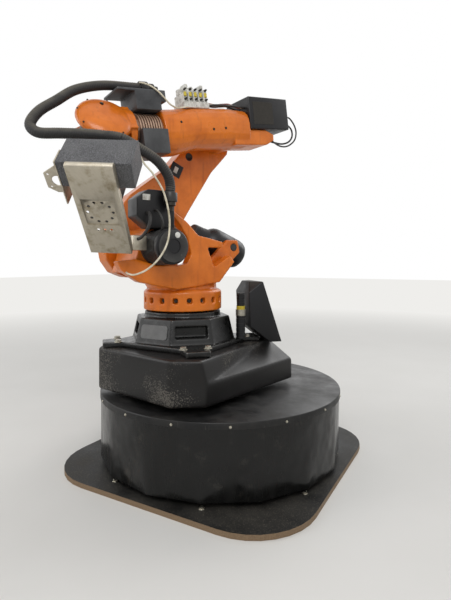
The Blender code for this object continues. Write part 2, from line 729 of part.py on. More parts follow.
bracket_outline = [
    (BRACKET_REAR, bracket_step),
    (bracket_rear, bracket_step),
    (bracket_rear, bracket_low),
    (bracket_neck, bracket_low),
    (bracket_neck, BRACKET_TOP - BRACKET_PLATE),
    (BRACKET_FRONT, BRACKET_TOP - BRACKET_PLATE),
    (BRACKET_FRONT, BRACKET_TOP),
    (BRACKET_REAR, BRACKET_TOP),
]
solid("collar_bracket", prism(bracket_outline, "Y", -trough_in, trough_in), GREY, a3)

# Wrist motors behind the elbow, above the tail
motor_low = ARM_HALF_HIGH * 0.12 + SEAT
motor_rear = -ARM_FRONT * 0.24 - SEAT
motor_block = solid(
    "wrist_motor_block",
    box((motor_rear - MOTOR_BLOCK_LONG, -MOTOR_BLOCK_HALF, motor_low), (motor_rear, MOTOR_BLOCK_HALF, motor_low + MOTOR_BLOCK_HIGH)),
    MOTOR,
    a3,
)
soften(motor_block, RUN_GAP)

# Wrist: the forked housing rolls on the collar, the hand bends in the fork, the flange turns on the hand
wrist_rear = COLLAR_FRONT - ARM_LONG + RUN_GAP
wrist_face = -HAND_RADIUS - RUN_GAP * 2
housing_profile = [
    (COLLAR_RADIUS, wrist_rear),
    (COLLAR_RADIUS * 1.3, wrist_rear + RUN_GAP * 3),
    (COLLAR_RADIUS * 1.3, wrist_face),
]
wrist = solid("wrist_housing", turned(housing_profile, "X", 28), ORANGE, a4)
wrist_seat = COLLAR_FRONT - ARM_LONG + SEAT
fuse(wrist, rod(COLLAR_RADIUS * BEARING_SHARE, "X", wrist_seat, wrist_face, count=28))
for side in (-1, 1):
    near = side * FORK_NEAR
    far = side * (FORK_NEAR + FORK_THICK)
    dome_profile = [
        (DOME_RADIUS, near),
        (DOME_RADIUS, near + (far - near) * 0.5),
        (DOME_RADIUS * 0.86, near + (far - near) * 0.85),
        (DOME_RADIUS * 0.6, far),
    ]
    fuse(wrist, turned(dome_profile, "Y", 28))
    strap = sorted((near, near + (far - near) * 0.5))
    fuse(wrist, box((wrist_rear + RUN_GAP * 3, strap[0], -HAND_RADIUS * 0.7), (0, strap[1], HAND_RADIUS * 0.7)))
hand_half = FORK_NEAR - RUN_GAP
hand = solid("wrist_hand", rod(HAND_RADIUS, "Y", -hand_half, hand_half, count=28), BLACK, a5)
hand_seat = FORK_NEAR - SEAT
fuse(hand, rod(HAND_RADIUS * BEARING_SHARE / 2, "Y", -hand_seat, hand_seat, count=28))
fuse(hand, rod(HAND_NECK, "X", 0, HAND_FRONT, count=24))
solid("mounting_flange", rod(FLANGE_RADIUS, "X", HAND_FRONT + SEAT, FLANGE_FRONT, count=24), BRIGHT, a6)

# Tool: an offset adapter, the channel plate, the box above it and the side plate
adapter_low = FLANGE_FRONT + SEAT
channel_back = TOOL_PLANE - CHANNEL_DEEP
plate_low = channel_back + SEAT
adapter = solid("tool_adapter", rod(ADAPTER_HALF, "X", adapter_low, adapter_low + ADAPTER_PLATE * 2, count=24), GREY, a6)
fuse(
    adapter,
    box(
        (adapter_low + ADAPTER_PLATE, -ADAPTER_HALF, -ADAPTER_HALF),
        (adapter_low + ADAPTER_PLATE * 3, TOOL_SIDESTEP + ADAPTER_HALF, ADAPTER_HALF),
    ),
)
fuse(
    adapter,
    box(
        (adapter_low + ADAPTER_PLATE * 2, TOOL_SIDESTEP - ADAPTER_HALF, -ADAPTER_HALF),
        (TOOL_PLANE - CHANNEL_WALL - SEAT, TOOL_SIDESTEP + ADAPTER_HALF, ADAPTER_HALF),
    ),
)
channel_low = TOOL_SIDESTEP - CHANNEL_WIDE / 2
channel_high = TOOL_SIDESTEP + CHANNEL_WIDE / 2
channel = solid(
    "tool_channel",
    box((channel_back, channel_low, -CHANNEL_LONG / 2), (TOOL_PLANE, channel_high, CHANNEL_LONG / 2)),
    BRIGHT,
    a6,
)
carve(
    channel,
    box(
        (channel_back - OVERRUN, channel_low + CHANNEL_WALL, -CHANNEL_LONG / 2 - OVERRUN),
        (TOOL_PLANE - CHANNEL_WALL, channel_high - CHANNEL_WALL, CHANNEL_LONG / 2 - CHANNEL_WALL),
    ),
)
box_low = channel_back - BOX_HIGH
box_front = CHANNEL_LONG / 2
tool_box = solid(
    "tool_box",
    box(
        (box_low, channel_low - CHANNEL_WIDE / 4, box_front - BOX_DEEP),
        (channel_back - SEAT, channel_low - CHANNEL_WIDE / 4 + BOX_WIDE, box_front),
    ),
    GREY,
    a6,
)
side_high = channel_low - CHANNEL_WIDE / 4 - SEAT
side_plate = solid(
    "tool_side_plate",
    box(
        (box_low + BOX_HIGH / 2, side_high - CHANNEL_WALL, box_front - SIDE_PLATE_LONG),
        (TOOL_PLANE - CHANNEL_DEEP, side_high, box_front),
    ),
    BRIGHT,
    a6,
)

# Hose from the clamp on the arm's bracket round the wrist to the clamp on the junction box
HOSE_POINTS = [
    (0.2806, 0, 2.9097), (0.3202, 0, 2.9041), (0.3895, 0, 2.8944), (0.449, 0, 2.886),
    (0.663, -0.005, 2.852), (0.856, 0.012, 2.773), (0.996, 0.036, 2.66), (1.096, 0.05, 2.577),
    (1.156, 0.07, 2.495), (1.165, 0.1, 2.438), (1.125, 0.154, 2.398), (1.021, 0.227, 2.395),
    (0.89, 0.294, 2.396), (0.786, 0.331, 2.395), (0.673, 0.385, 2.381), (0.554, 0.432, 2.314),
    (0.454, 0.46, 2.249), (0.38, 0.458, 2.17), (0.35, 0.4431, 2.1), (0.35, 0.4431, 2.06),
    (0.35, 0.4431, 1.975),
]
tube("dress_hose", HOSE_POINTS, HOSE_RADIUS, RUBBER, a1)
upper_clamp_place = Vector((ARM_FRONT + HOSE_RADIUS * 2, 0, BRACKET_TOP + SEAT + HOSE_RADIUS + CLAMP_WALL))
clamp_ring("upper_hose_clamp", upper_clamp_place, Vector((1, 0, 0)), HOSE_RADIUS, CLAMP_LONG, MOTOR, a3)
lower_clamp_place = Vector((A2_PLACE.x, junction_near + SEAT + HOSE_RADIUS + CLAMP_WALL, junction_low + JUNCTION_HIGH * 0.8))
clamp_ring("lower_hose_clamp", lower_clamp_place, Vector((0, 0, 1)), HOSE_RADIUS, CLAMP_LONG, MOTOR, a1)
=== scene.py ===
"""Looks of a six-axis industrial robot with a plate tool, on a drum pedestal and a floor plate.

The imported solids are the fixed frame. Each section below is one piece or group, in the order
in which the real robot is put together, from the floor plate up to the tool.
"""

import json
import math

import bmesh
import bpy
from mathutils import Matrix, Vector


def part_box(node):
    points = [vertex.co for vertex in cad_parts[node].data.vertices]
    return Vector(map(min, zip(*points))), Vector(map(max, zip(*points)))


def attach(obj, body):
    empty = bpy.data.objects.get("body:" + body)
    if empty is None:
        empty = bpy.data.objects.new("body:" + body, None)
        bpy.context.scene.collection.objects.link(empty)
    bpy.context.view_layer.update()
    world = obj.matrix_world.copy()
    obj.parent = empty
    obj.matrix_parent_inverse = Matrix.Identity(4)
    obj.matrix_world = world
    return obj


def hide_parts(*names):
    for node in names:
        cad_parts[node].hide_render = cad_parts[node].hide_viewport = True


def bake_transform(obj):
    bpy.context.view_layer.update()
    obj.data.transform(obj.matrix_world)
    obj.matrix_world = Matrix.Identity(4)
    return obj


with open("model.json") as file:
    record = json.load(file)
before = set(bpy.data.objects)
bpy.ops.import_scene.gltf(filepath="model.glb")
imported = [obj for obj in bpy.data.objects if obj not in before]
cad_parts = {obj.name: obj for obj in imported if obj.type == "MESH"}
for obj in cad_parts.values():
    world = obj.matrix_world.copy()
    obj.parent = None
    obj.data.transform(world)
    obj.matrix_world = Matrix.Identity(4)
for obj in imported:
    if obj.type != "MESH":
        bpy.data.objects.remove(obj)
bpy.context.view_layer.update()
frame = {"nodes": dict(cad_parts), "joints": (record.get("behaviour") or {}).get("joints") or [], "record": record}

# Camera: level, with the lens shifted down, at the height of a person's eyes. It stands before
# the robot's left front, so that the pedestal is seen from a little above and the arm from below.
CAMERA_PLACE = (1.88, -3.24, 1.58)
CAMERA_HEADING = 29.5
CAMERA_LENS = 27
CAMERA_SHIFT = -0.0633
camera = bpy.data.objects.new("camera", bpy.data.cameras.new("camera"))
bpy.context.scene.collection.objects.link(camera)
camera.location = CAMERA_PLACE
camera.rotation_euler = (math.radians(90), 0, math.radians(CAMERA_HEADING))
camera.data.lens = CAMERA_LENS
camera.data.shift_y = CAMERA_SHIFT
bpy.context.scene.camera = camera
bpy.context.scene.view_settings.view_transform = "Standard"

# Stage: a plain pale floor, a white surround for the camera and for reflections, and soft lamps
FLOOR_HALF = 40
FLOOR_GAP = 0.0005
floor_mesh = bpy.data.meshes.new("floor")
floor_corners = [(x * FLOOR_HALF, y * FLOOR_HALF, 0) for x, y in ((-1, -1), (1, -1), (1, 1), (-1, 1))]
floor_mesh.from_pydata(floor_corners, [], [(0, 1, 2, 3)])
floor = bpy.data.objects.new("floor", floor_mesh)
bpy.context.scene.collection.objects.link(floor)
floor.location.z = -FLOOR_GAP


def linear(code):
    """A colour written as an sRGB hex value, as the linear values that a shader takes."""
    values = [int(code[index : index + 2], 16) / 255 for index in (1, 3, 5)]
    return [v / 12.92 if v <= 0.04045 else ((v + 0.055) / 1.055) ** 2.4 for v in values] + [1]


def finish(name, colour, roughness, metallic=0.0):
    """A new material, with its colour, roughness and metallic value set on the shader."""
    material = bpy.data.materials.new(name)
    material.use_nodes = True
    shader = material.node_tree.nodes["Principled BSDF"]
    shader.inputs["Base Color"].default_value = linear(colour)
    shader.inputs["Roughness"].default_value = roughness
    shader.inputs["Metallic"].default_value = metallic
    return material


def add(tree, kind, links=None, **settings):
    """One shader node, with its settings and what its sockets take: a link, a value or a hex colour."""
    step = tree.nodes.new("ShaderNode" + kind)
    for name, value in settings.items():
        setattr(step, name, value)
    for socket, value in (links or {}).items():
        if isinstance(value, bpy.types.NodeSocket):
            tree.links.new(value, step.inputs[socket])
        else:
            step.inputs[socket].default_value = linear(value) if isinstance(value, str) else value
    return step


def to_shader(tree, colour, rough=None, relief=None):
    """Links a material's colour, and its roughness and relief where they vary, to its shader."""
    shader = tree.nodes["Principled BSDF"]
    for socket, value in (("Base Color", colour), ("Roughness", rough), ("Normal", relief)):
        if value:
            tree.links.new(value, shader.inputs[socket])
    return shader


# Sealed pale concrete: nearly even, with faint clouds about a metre across
concrete = finish("sealed_pale_concrete", "#E4E3DF", 0.7)
tree = concrete.node_tree
floor_place = add(tree, "TexCoord").outputs["Object"]
clouds = add(tree, "TexNoise", {"Vector": floor_place, "Scale": 1.0, "Detail": 4}).outputs[0]
floor_tone = add(tree, "Mix", {0: clouds, 6: "#DFDEDA", 7: "#EAE9E6"}, data_type="RGBA").outputs[2]
# Far from the object the floor is seen as an even pale tone, past the lamps' reach
away = add(tree, "VectorMath", {0: floor_place}, operation="LENGTH")
far_share = add(tree, "MapRange", {0: away.outputs["Value"], 1: 2.5, 2: 12}).outputs[0]
seen = add(tree, "LightPath").outputs["Is Camera Ray"]
far_seen = add(tree, "Math", {0: far_share, 1: seen}, operation="MULTIPLY").outputs[0]
near = to_shader(tree, floor_tone).outputs[0]
pale = add(tree, "Emission", {"Color": "#EFEEEB", "Strength": 1.0}).outputs[0]
floor_mix = add(tree, "MixShader", {0: far_seen, 1: near, 2: pale})
tree.links.new(floor_mix.outputs[0], tree.nodes["Material Output"].inputs["Surface"])
floor_mesh.materials.append(concrete)

world = bpy.data.worlds.new("white_surround")
bpy.context.scene.world = world
world.use_nodes = True
tree = world.node_tree
ray = add(tree, "LightPath")
bright = ray.outputs["Is Camera Ray"]
for kind in ("Is Glossy Ray", "Is Transmission Ray"):
    bright = add(tree, "Math", {0: bright, 1: ray.outputs[kind]}, operation="MAXIMUM").outputs[0]
AMBIENT = 0.42
ambient = add(tree, "MapRange", {0: bright, 3: AMBIENT, 4: 1.0})
tree.links.new(ambient.outputs[0], tree.nodes["Background"].inputs["Strength"])
tree.nodes["Background"].inputs["Color"].default_value = (1, 1, 1, 1)

LAMP_AIM = Vector((0, 0, 1.5))
LAMPS = [
    ("key", (2.6, -4.6, 5.2), 3.2, 170),
    ("fill", (-4.2, -3.6, 3.4), 3.6, 75),
    ("back", (1.5, 4.5, 5.0), 3.6, 110),
]
for lamp_name, lamp_place, lamp_size, watts in LAMPS:
    lamp = bpy.data.objects.new(lamp_name, bpy.data.lights.new(lamp_name, "AREA"))
    bpy.context.scene.collection.objects.link(lamp)
    lamp.location = lamp_place
    lamp.rotation_euler = (LAMP_AIM - Vector(lamp_place)).to_track_quat("-Z", "Y").to_euler()
    lamp.data.size = lamp_size
    lamp.data.energy = watts


# Floor plate: one flame-cut steel plate with big rounded corners, painted black and walked on.
# The paint is worn to dusty grey on top and the cut edge is rusty. Eight floor bolts hold it.
flame_cut_steel = finish("black_paint_on_flame_cut_steel", "#2B2A29", 0.55)
tree = flame_cut_steel.node_tree
place = add(tree, "TexCoord").outputs["Object"]
# Dust and boot marks in patches about 300 mm across, with grit of 6 mm
patches = add(tree, "TexNoise", {"Vector": place, "Scale": 3.3, "Detail": 7, "Roughness": 0.62}).outputs[0]
patch_share = add(tree, "MapRange", {0: patches, 1: 0.42, 2: 0.68}).outputs[0]
grit = add(tree, "TexNoise", {"Vector": place, "Scale": 160, "Detail": 3}).outputs[0]
grit_share = add(tree, "MapRange", {0: grit, 1: 0.56, 2: 0.74}).outputs[0]
worn = add(tree, "Mix", {0: patch_share, 6: "#141414", 7: "#35332F"}, data_type="RGBA").outputs[2]
dusty = add(tree, "Mix", {0: grit_share, 6: worn, 7: "#5E5950"}, data_type="RGBA").outputs[2]
facing = add(tree, "SeparateXYZ", {0: add(tree, "NewGeometry").outputs["Normal"]})
edge_share = add(tree, "MapRange", {0: facing.outputs[2], 1: 0.8, 2: 0.2}).outputs[0]
rust = add(tree, "Mix", {0: grit, 6: "#5C4634", 7: "#9A8468"}, data_type="RGBA").outputs[2]
plate_tone = add(tree, "Mix", {0: edge_share, 6: dusty, 7: rust}, data_type="RGBA").outputs[2]
plate_rough = add(tree, "MapRange", {0: patches, 1: 0.3, 2: 0.7, 3: 0.42, 4: 0.75}).outputs[0]
plate_bump = add(tree, "Bump", {"Height": grit, "Strength": 0.25, "Distance": 0.001}).outputs[0]
shader = to_shader(tree, plate_tone, rough=plate_rough, relief=plate_bump)
shader.inputs["Specular IOR Level"].default_value = 0.3

# Zinc-plated steel: bolts, screws and washers, slightly yellow and dull with handling
zinc = finish("zinc_plated_steel", "#B9B5A8", 0.38, 1.0)
tree = zinc.node_tree
place = add(tree, "TexCoord").outputs["Object"]
tarnish = add(tree, "TexNoise", {"Vector": place, "Scale": 90, "Detail": 4}).outputs[0]
zinc_tone = add(tree, "Mix", {0: tarnish, 6: "#8E897C", 7: "#CFCBBE"}, data_type="RGBA").outputs[2]
to_shader(tree, zinc_tone)

WORLD_ROW = Matrix.Identity(4)
NODE_BODY = {node: body for body, nodes in frame["record"]["behaviour"]["bodies"].items() for node in nodes}


def dress(node, material):
    """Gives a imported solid, whose shape is right, its real material."""
    frame["nodes"][node].data.materials.clear()
    frame["nodes"][node].data.materials.append(material)


def stand(name, mesh, body, *nodes, slot=None):
    """Puts a mesh into the scene on a body, in place of the solids that it stands for."""
    made = bpy.data.objects.new(name, mesh)
    bpy.context.scene.collection.objects.link(made)
    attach(made, body)
    if nodes:
        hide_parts(*nodes)
    return made


def close_mesh(name, shape, material, row, angle=32):
    """Turns a bmesh into a mesh in the row frame, smooth but for its sharp edges."""
    bmesh.ops.recalc_face_normals(shape, faces=shape.faces)
    mesh = bpy.data.meshes.new(name)
    shape.transform(row)
    shape.to_mesh(mesh)
    shape.free()
    mesh.shade_smooth()
    mesh.set_sharp_from_angle(angle=math.radians(angle))
    mesh.materials.append(material)
    return mesh


def put(name, shape, material, row, body, *nodes, angle=32, slot=None):
    """Makes a piece of a bmesh and puts it on a body, in place of the solids that it stands for."""
    return stand(name, close_mesh(name, shape, material, row, angle), body, *nodes, slot=slot)


def skin(shape, rings, closed=False):
    """Adds a closed form through rings of points to a bmesh."""
    made = [[shape.verts.new(point) for point in ring] for ring in rings]
    pairs = list(zip(made, made[1:]))
    if closed:
        pairs.append((made[-1], made[0]))
    for low, high in pairs:
        for index in range(len(low)):
            follow = (index + 1) % len(low)
            shape.faces.new((low[index], low[follow], high[follow], high[index]))
    if not closed:
        shape.faces.new(list(reversed(made[0])))
        shape.faces.new(made[-1])


def lathe(shape, profile, along, count=32, centre=(0, 0), closed=False):
    """Adds a profile of radii and levels, turned about an axis."""
    rings = []
    for radius, level in profile:
        ring = []
        for step in range(count):
            angle = math.tau * step / count
            u = centre[0] + radius * math.cos(angle)
            v = centre[1] + radius * math.sin(angle)
            ring.append({"X": (level, u, v), "Y": (u, level, v), "Z": (u, v, level)}[along])
        rings.append(ring)
    skin(shape, rings, closed)


def bolt(shape, place, direction, size):
    """Adds a hexagon-head bolt on its washer, with the head's corners turned off."""
    part = bmesh.new()
    lathe(part, [(size, 0), (size, size * 0.12), (size * 0.97, size * 0.16)], "Z", 20)
    head = [(0.72, 0.16), (0.78, 0.2), (0.78, 0.6), (0.6, 0.7)]
    lathe(part, [(size * wide, size * high) for wide, high in head], "Z", 6)
    turn = Vector(direction).to_track_quat("Z", "Y").to_matrix().to_4x4()
    part.transform(Matrix.Translation(place) @ turn)
    spare = bpy.data.meshes.new("spare")
    part.to_mesh(spare)
    part.free()
    shape.from_mesh(spare)
    bpy.data.meshes.remove(spare)


PLATE_BOLT_REACH = 0.86
PLATE_BOLT_SHARE = 0.42
PLATE_BOLT_SIZE = 0.021
plate_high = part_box("floor_plate")[1]
dress("floor_plate", flame_cut_steel)
shape = bmesh.new()
for side in (-1, 1):
    for share in (PLATE_BOLT_SHARE, -PLATE_BOLT_SHARE):
        for x, y in ((side, share), (share, side)):
            spot = (x * PLATE_BOLT_REACH, y * PLATE_BOLT_REACH, plate_high.z)
            bolt(shape, spot, (0, 0, 1), PLATE_BOLT_SIZE)
put("floor_bolts", shape, zinc, WORLD_ROW, "pedestal", slot="bare_aluminium")

# Drum: sheet steel bent round a welded inner frame and painted gloss black. Its skirt has 16 flats
# at the foot that run out to a circle at the top, where a lipped lid is screwed over it.
gloss_drum = finish("gloss_black_on_sheet_steel", "#191A1A", 0.3)
tree = gloss_drum.node_tree
place = add(tree, "TexCoord").outputs["Object"]
# Brushed-on enamel: streaks 70 mm wide and 600 mm high, and dents in the sheet of 300 mm
stretched = add(tree, "Mapping", {0: place, 3: (14, 14, 1.6)})
streaks = add(tree, "TexNoise", {"Vector": stretched.outputs[0], "Scale": 1.0, "Detail": 5}).outputs[0]
dents = add(tree, "TexNoise", {"Vector": place, "Scale": 3.4, "Detail": 2}).outputs[0]
scuffs = add(tree, "TexNoise", {"Vector": place, "Scale": 9, "Detail": 8, "Roughness": 0.7}).outputs[0]
scuff_share = add(tree, "MapRange", {0: scuffs, 1: 0.56, 2: 0.72}).outputs[0]
drum_dark = add(tree, "Mix", {0: streaks, 6: "#060606", 7: "#111110"}, data_type="RGBA").outputs[2]
drum_tone = add(tree, "Mix", {0: scuff_share, 6: drum_dark, 7: "#2A2824"}, data_type="RGBA").outputs[2]
drum_rough = add(tree, "MapRange", {0: streaks, 1: 0.3, 2: 0.7, 3: 0.16, 4: 0.34}).outputs[0]
dent_bump = add(tree, "Bump", {"Height": dents, "Strength": 1.0, "Distance": 0.03}).outputs[0]
streak_bump = add(
    tree, "Bump", {"Height": streaks, "Strength": 0.06, "Distance": 0.002, "Normal": dent_bump}
).outputs[0]
shader = to_shader(tree, drum_tone, rough=drum_rough, relief=streak_bump)
shader.inputs["Specular IOR Level"].default_value = 0.3
shader.inputs["Coat Weight"].default_value = 0.1
shader.inputs["Coat Roughness"].default_value = 0.14

SKIRT_FLATS = 16
FLAT_STEPS = 12
SKIRT_SAG = 0.004
SKIRT_GAP = 0.0004
SHEET = 0.006
skirt_low, skirt_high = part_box("drum_skirt")
lid_low, lid_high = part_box("drum_top")
lid_radius = lid_high.x
skirt_radius = lid_radius - SHEET - SKIRT_GAP
LEVEL_SHARES = [0.0, 0.12, 0.3, 0.5, 0.7, 0.86, 1.0]


def skirt_ring(radius, share):
    """One level of the skirt: flats at the foot, a circle at the top."""
    corner = math.tau / SKIRT_FLATS
    ring = []
    for step in range(SKIRT_FLATS * FLAT_STEPS):
        angle = math.tau * step / (SKIRT_FLATS * FLAT_STEPS)
        flat = radius * math.cos(corner / 2) / math.cos(angle % corner - corner / 2)
        reach = flat + (radius - flat) * share**0.7
        sag = SKIRT_SAG * math.sin(angle * 5 + 1) * (1 - share)
        level = skirt_low.z + (skirt_high.z - skirt_low.z) * share + max(0.0, sag)
        ring.append((reach * math.cos(angle), reach * math.sin(angle), level))
    return ring


shape = bmesh.new()
outer = [skirt_ring(skirt_radius, share) for share in LEVEL_SHARES]
inner = [skirt_ring(skirt_radius - SHEET, share) for share in reversed(LEVEL_SHARES)]
skin(shape, outer + inner, closed=True)
put("drum_skirt_sheet", shape, gloss_drum, WORLD_ROW, "pedestal", "drum_skirt", angle=50)
dress("drum_core", gloss_drum)

# Lid: a round lid of black painted sheet steel, its lip folded down over the skirt and held by a ring
# of screws. Its top is scuffed and dusty where tools and boots stood on it.
gloss_lid = finish("scuffed_black_on_sheet_lid", "#242322", 0.45)
tree = gloss_lid.node_tree
place = add(tree, "TexCoord").outputs["Object"]
wear = add(tree, "TexNoise", {"Vector": place, "Scale": 5, "Detail": 9, "Roughness": 0.68}).outputs[0]
wear_share = add(tree, "MapRange", {0: wear, 1: 0.45, 2: 0.7}).outputs[0]
scratch_place = add(tree, "Mapping", {0: place, 2: (0, 0, 0.6), 3: (12, 260, 12)})
scratches = add(tree, "TexNoise", {"Vector": scratch_place.outputs[0], "Scale": 1.0, "Detail": 4}).outputs[0]
scratch_share = add(tree, "MapRange", {0: scratches, 1: 0.64, 2: 0.7}).outputs[0]
lid_tone = add(tree, "Mix", {0: wear_share, 6: "#0B0B0B", 7: "#1F1E1C"}, data_type="RGBA").outputs[2]
lid_scored = add(tree, "Mix", {0: scratch_share, 6: lid_tone, 7: "#3C3A36"}, data_type="RGBA").outputs[2]
lid_rough = add(tree, "MapRange", {0: wear, 1: 0.35, 2: 0.7, 3: 0.28, 4: 0.6}).outputs[0]
lid_bump = add(tree, "Bump", {"Height": wear, "Strength": 0.15, "Distance": 0.003}).outputs[0]
shader = to_shader(tree, lid_scored, rough=lid_rough, relief=lid_bump)
shader.inputs["Specular IOR Level"].default_value = 0.35

LID_EDGE = 0.006
LID_SCREWS = 16
LID_SCREW_SIZE = 0.009
LID_SCREW_SINK = 0.0008
LID_SCREW_SHARE = 0.62
shape = bmesh.new()
lid_profile = [
    (lid_radius - SHEET, lid_low.z),
    (lid_radius, lid_low.z),
    (lid_radius, lid_high.z - LID_EDGE),
    (lid_radius - LID_EDGE * 0.3, lid_high.z - LID_EDGE * 0.3),
    (lid_radius - LID_EDGE, lid_high.z),
    (LID_EDGE, lid_high.z),
    (LID_EDGE, lid_high.z - SHEET * 2),
    (lid_radius - SHEET, lid_high.z - SHEET * 2),
]
lathe(shape, lid_profile, "Z", 192, closed=True)
put("drum_lid_sheet", shape, gloss_lid, WORLD_ROW, "pedestal", "drum_top", angle=50)
shape = bmesh.new()
screw_level = lid_high.z - (lid_high.z - lid_low.z) * LID_SCREW_SHARE
for index in range(LID_SCREWS):
    angle = math.tau * (index + 0.5) / LID_SCREWS
    outward = Vector((math.cos(angle), math.sin(angle), 0))
    spot = outward * (lid_radius - LID_SCREW_SINK) + Vector((0, 0, screw_level))
    bolt(shape, spot, outward, LID_SCREW_SIZE)
put("lid_screws", shape, zinc, WORLD_ROW, "pedestal", slot="bare_aluminium")

# Riser: a heavy cast block under the robot's feet, thickly coated in black. The coat is scuffed
# through to grey on its corners and speckled with chips, and it lies on a smaller spacer plate.
thick_coat = finish("thick_black_coat_on_cast_iron", "#1E1D1C", 0.5)
tree = thick_coat.node_tree
place = add(tree, "TexCoord").outputs["Object"]
# Chips of 3 to 9 mm spread in clouds of about 400 mm, and corners rubbed light
clusters = add(tree, "TexNoise", {"Vector": place, "Scale": 2.4, "Detail": 2}).outputs[0]
chips = add(tree, "TexNoise", {"Vector": place, "Scale": 110, "Detail": 6, "Roughness": 0.65}).outputs[0]
chip_sum = add(tree, "Math", {0: clusters, 1: chips}, operation="ADD")
chip_share = add(tree, "MapRange", {0: chip_sum.outputs[0], 1: 1.13, 2: 1.17}).outputs[0]
edges = add(tree, "NewGeometry").outputs["Pointiness"]
rubbed = add(tree, "MapRange", {0: edges, 1: 0.53, 2: 0.6}).outputs[0]
rub_share = add(tree, "Math", {0: rubbed, 1: chips}, operation="MULTIPLY").outputs[0]
coat_tone = add(tree, "Mix", {0: clusters, 6: "#090808", 7: "#171514"}, data_type="RGBA").outputs[2]
coat_chipped = add(tree, "Mix", {0: chip_share, 6: coat_tone, 7: "#57534D"}, data_type="RGBA").outputs[2]
coat_rubbed = add(tree, "Mix", {0: rub_share, 6: coat_chipped, 7: "#8E887E"}, data_type="RGBA").outputs[2]
coat_rough = add(tree, "MapRange", {0: clusters, 1: 0.35, 2: 0.65, 3: 0.3, 4: 0.55}).outputs[0]
coat_bump = add(tree, "Bump", {"Height": chips, "Strength": 0.35, "Distance": 0.002}).outputs[0]
shader = to_shader(tree, coat_rubbed, rough=coat_rough, relief=coat_bump)
shader.inputs["Specular IOR Level"].default_value = 0.35


def settle(made):
    """Turns a piece's modifiers into its mesh."""
    bpy.context.view_layer.update()
    graph = bpy.context.evaluated_depsgraph_get()
    mesh = bpy.data.meshes.new_from_object(made.evaluated_get(graph))
    made.modifiers.clear()
    made.data = mesh


def soften(made, material, voxel, rounds):
    """Melts every edge and inner corner of a piece to the soft radius of a casting."""
    melt = made.modifiers.new("melt", "REMESH")
    melt.mode = "VOXEL"
    melt.voxel_size = voxel
    ease = made.modifiers.new("ease", "SMOOTH")
    ease.iterations = rounds
    settle(made)
    made.data.materials.clear()
    made.data.materials.append(material)
    made.data.shade_smooth()


def cast_form(name, node, material, voxel, rounds):
    """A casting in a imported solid's form, in place of the solid."""
    mesh = frame["nodes"][node].data.copy()
    mesh.name = name
    mesh.materials.clear()
    soften(stand(name, mesh, NODE_BODY[node], node), material, voxel, rounds)


cast_form("riser_casting", "riser_block", thick_coat, 0.009, 9)
dress("riser_spacer", thick_coat)

# Base: the robot's own cast foot with a flared body, four windows and four corner feet, in satin
# black enamel that is chipped along its ridges. Two big bolts in each foot hold it to the riser.
satin_base = finish("satin_black_enamel_on_cast_iron", "#161617", 0.36)
tree = satin_base.node_tree
place = add(tree, "TexCoord").outputs["Object"]
cast_grain = add(tree, "TexNoise", {"Vector": place, "Scale": 70, "Detail": 4}).outputs[0]
rub_grain = add(tree, "TexNoise", {"Vector": place, "Scale": 25, "Detail": 6}).outputs[0]
edges = add(tree, "NewGeometry").outputs["Pointiness"]
ridges = add(tree, "MapRange", {0: edges, 1: 0.53, 2: 0.58}).outputs[0]
ridge_share = add(tree, "Math", {0: ridges, 1: rub_grain}, operation="MULTIPLY").outputs[0]
base_tone = add(tree, "Mix", {0: rub_grain, 6: "#070707", 7: "#141413"}, data_type="RGBA").outputs[2]
base_rubbed = add(tree, "Mix", {0: ridge_share, 6: base_tone, 7: "#8F8C86"}, data_type="RGBA").outputs[2]
base_rough = add(tree, "MapRange", {0: rub_grain, 1: 0.3, 2: 0.7, 3: 0.22, 4: 0.45}).outputs[0]
base_bump = add(tree, "Bump", {"Height": cast_grain, "Strength": 0.2, "Distance": 0.002}).outputs[0]
shader = to_shader(tree, base_rubbed, rough=base_rough, relief=base_bump)
shader.inputs["Specular IOR Level"].default_value = 0.35
shader.inputs["Coat Weight"].default_value = 0.15
shader.inputs["Coat Roughness"].default_value = 0.18

joints = {joint["name"]: joint for joint in frame["joints"]}


def joint_place(name):
    """The point that a joint turns about."""
    return Vector(joints[name]["pos_m"])


robot_foot = joint_place("a1_column_turn") * Vector((1, 1, 0))
FOOT_BOLT_REACH = 0.50895
FOOT_BOLT_SIDE = 0.08775
FOOT_BOLT_SIZE = 0.03
FOOT_BOLT_RISE = 0.0395
cast_form("base_casting", "base_frame", satin_base, 0.007, 5)
base_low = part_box("base_frame")[0]
shape = bmesh.new()
for quarter in range(4):
    for side in (-1, 1):
        corner = Vector((FOOT_BOLT_REACH, side * FOOT_BOLT_SIDE, 0))
        corner.rotate(Matrix.Rotation(math.tau * (quarter + 0.5) / 4, 3, "Z"))
        spot = robot_foot + corner
        bolt(shape, (spot.x, spot.y, base_low.z + FOOT_BOLT_RISE), (0, 0, 1), FOOT_BOLT_SIZE)
put("base_bolts", shape, zinc, WORLD_ROW, "pedestal", slot="bare_aluminium")

# Base cover: the blank sheet-steel panel over the cable entry on the base's front face, dark grey
# powder coat with a fine orange peel
powder_grey = finish("dark_grey_powder_coat", "#46474A", 0.46)
tree = powder_grey.node_tree
place = add(tree, "TexCoord").outputs["Object"]
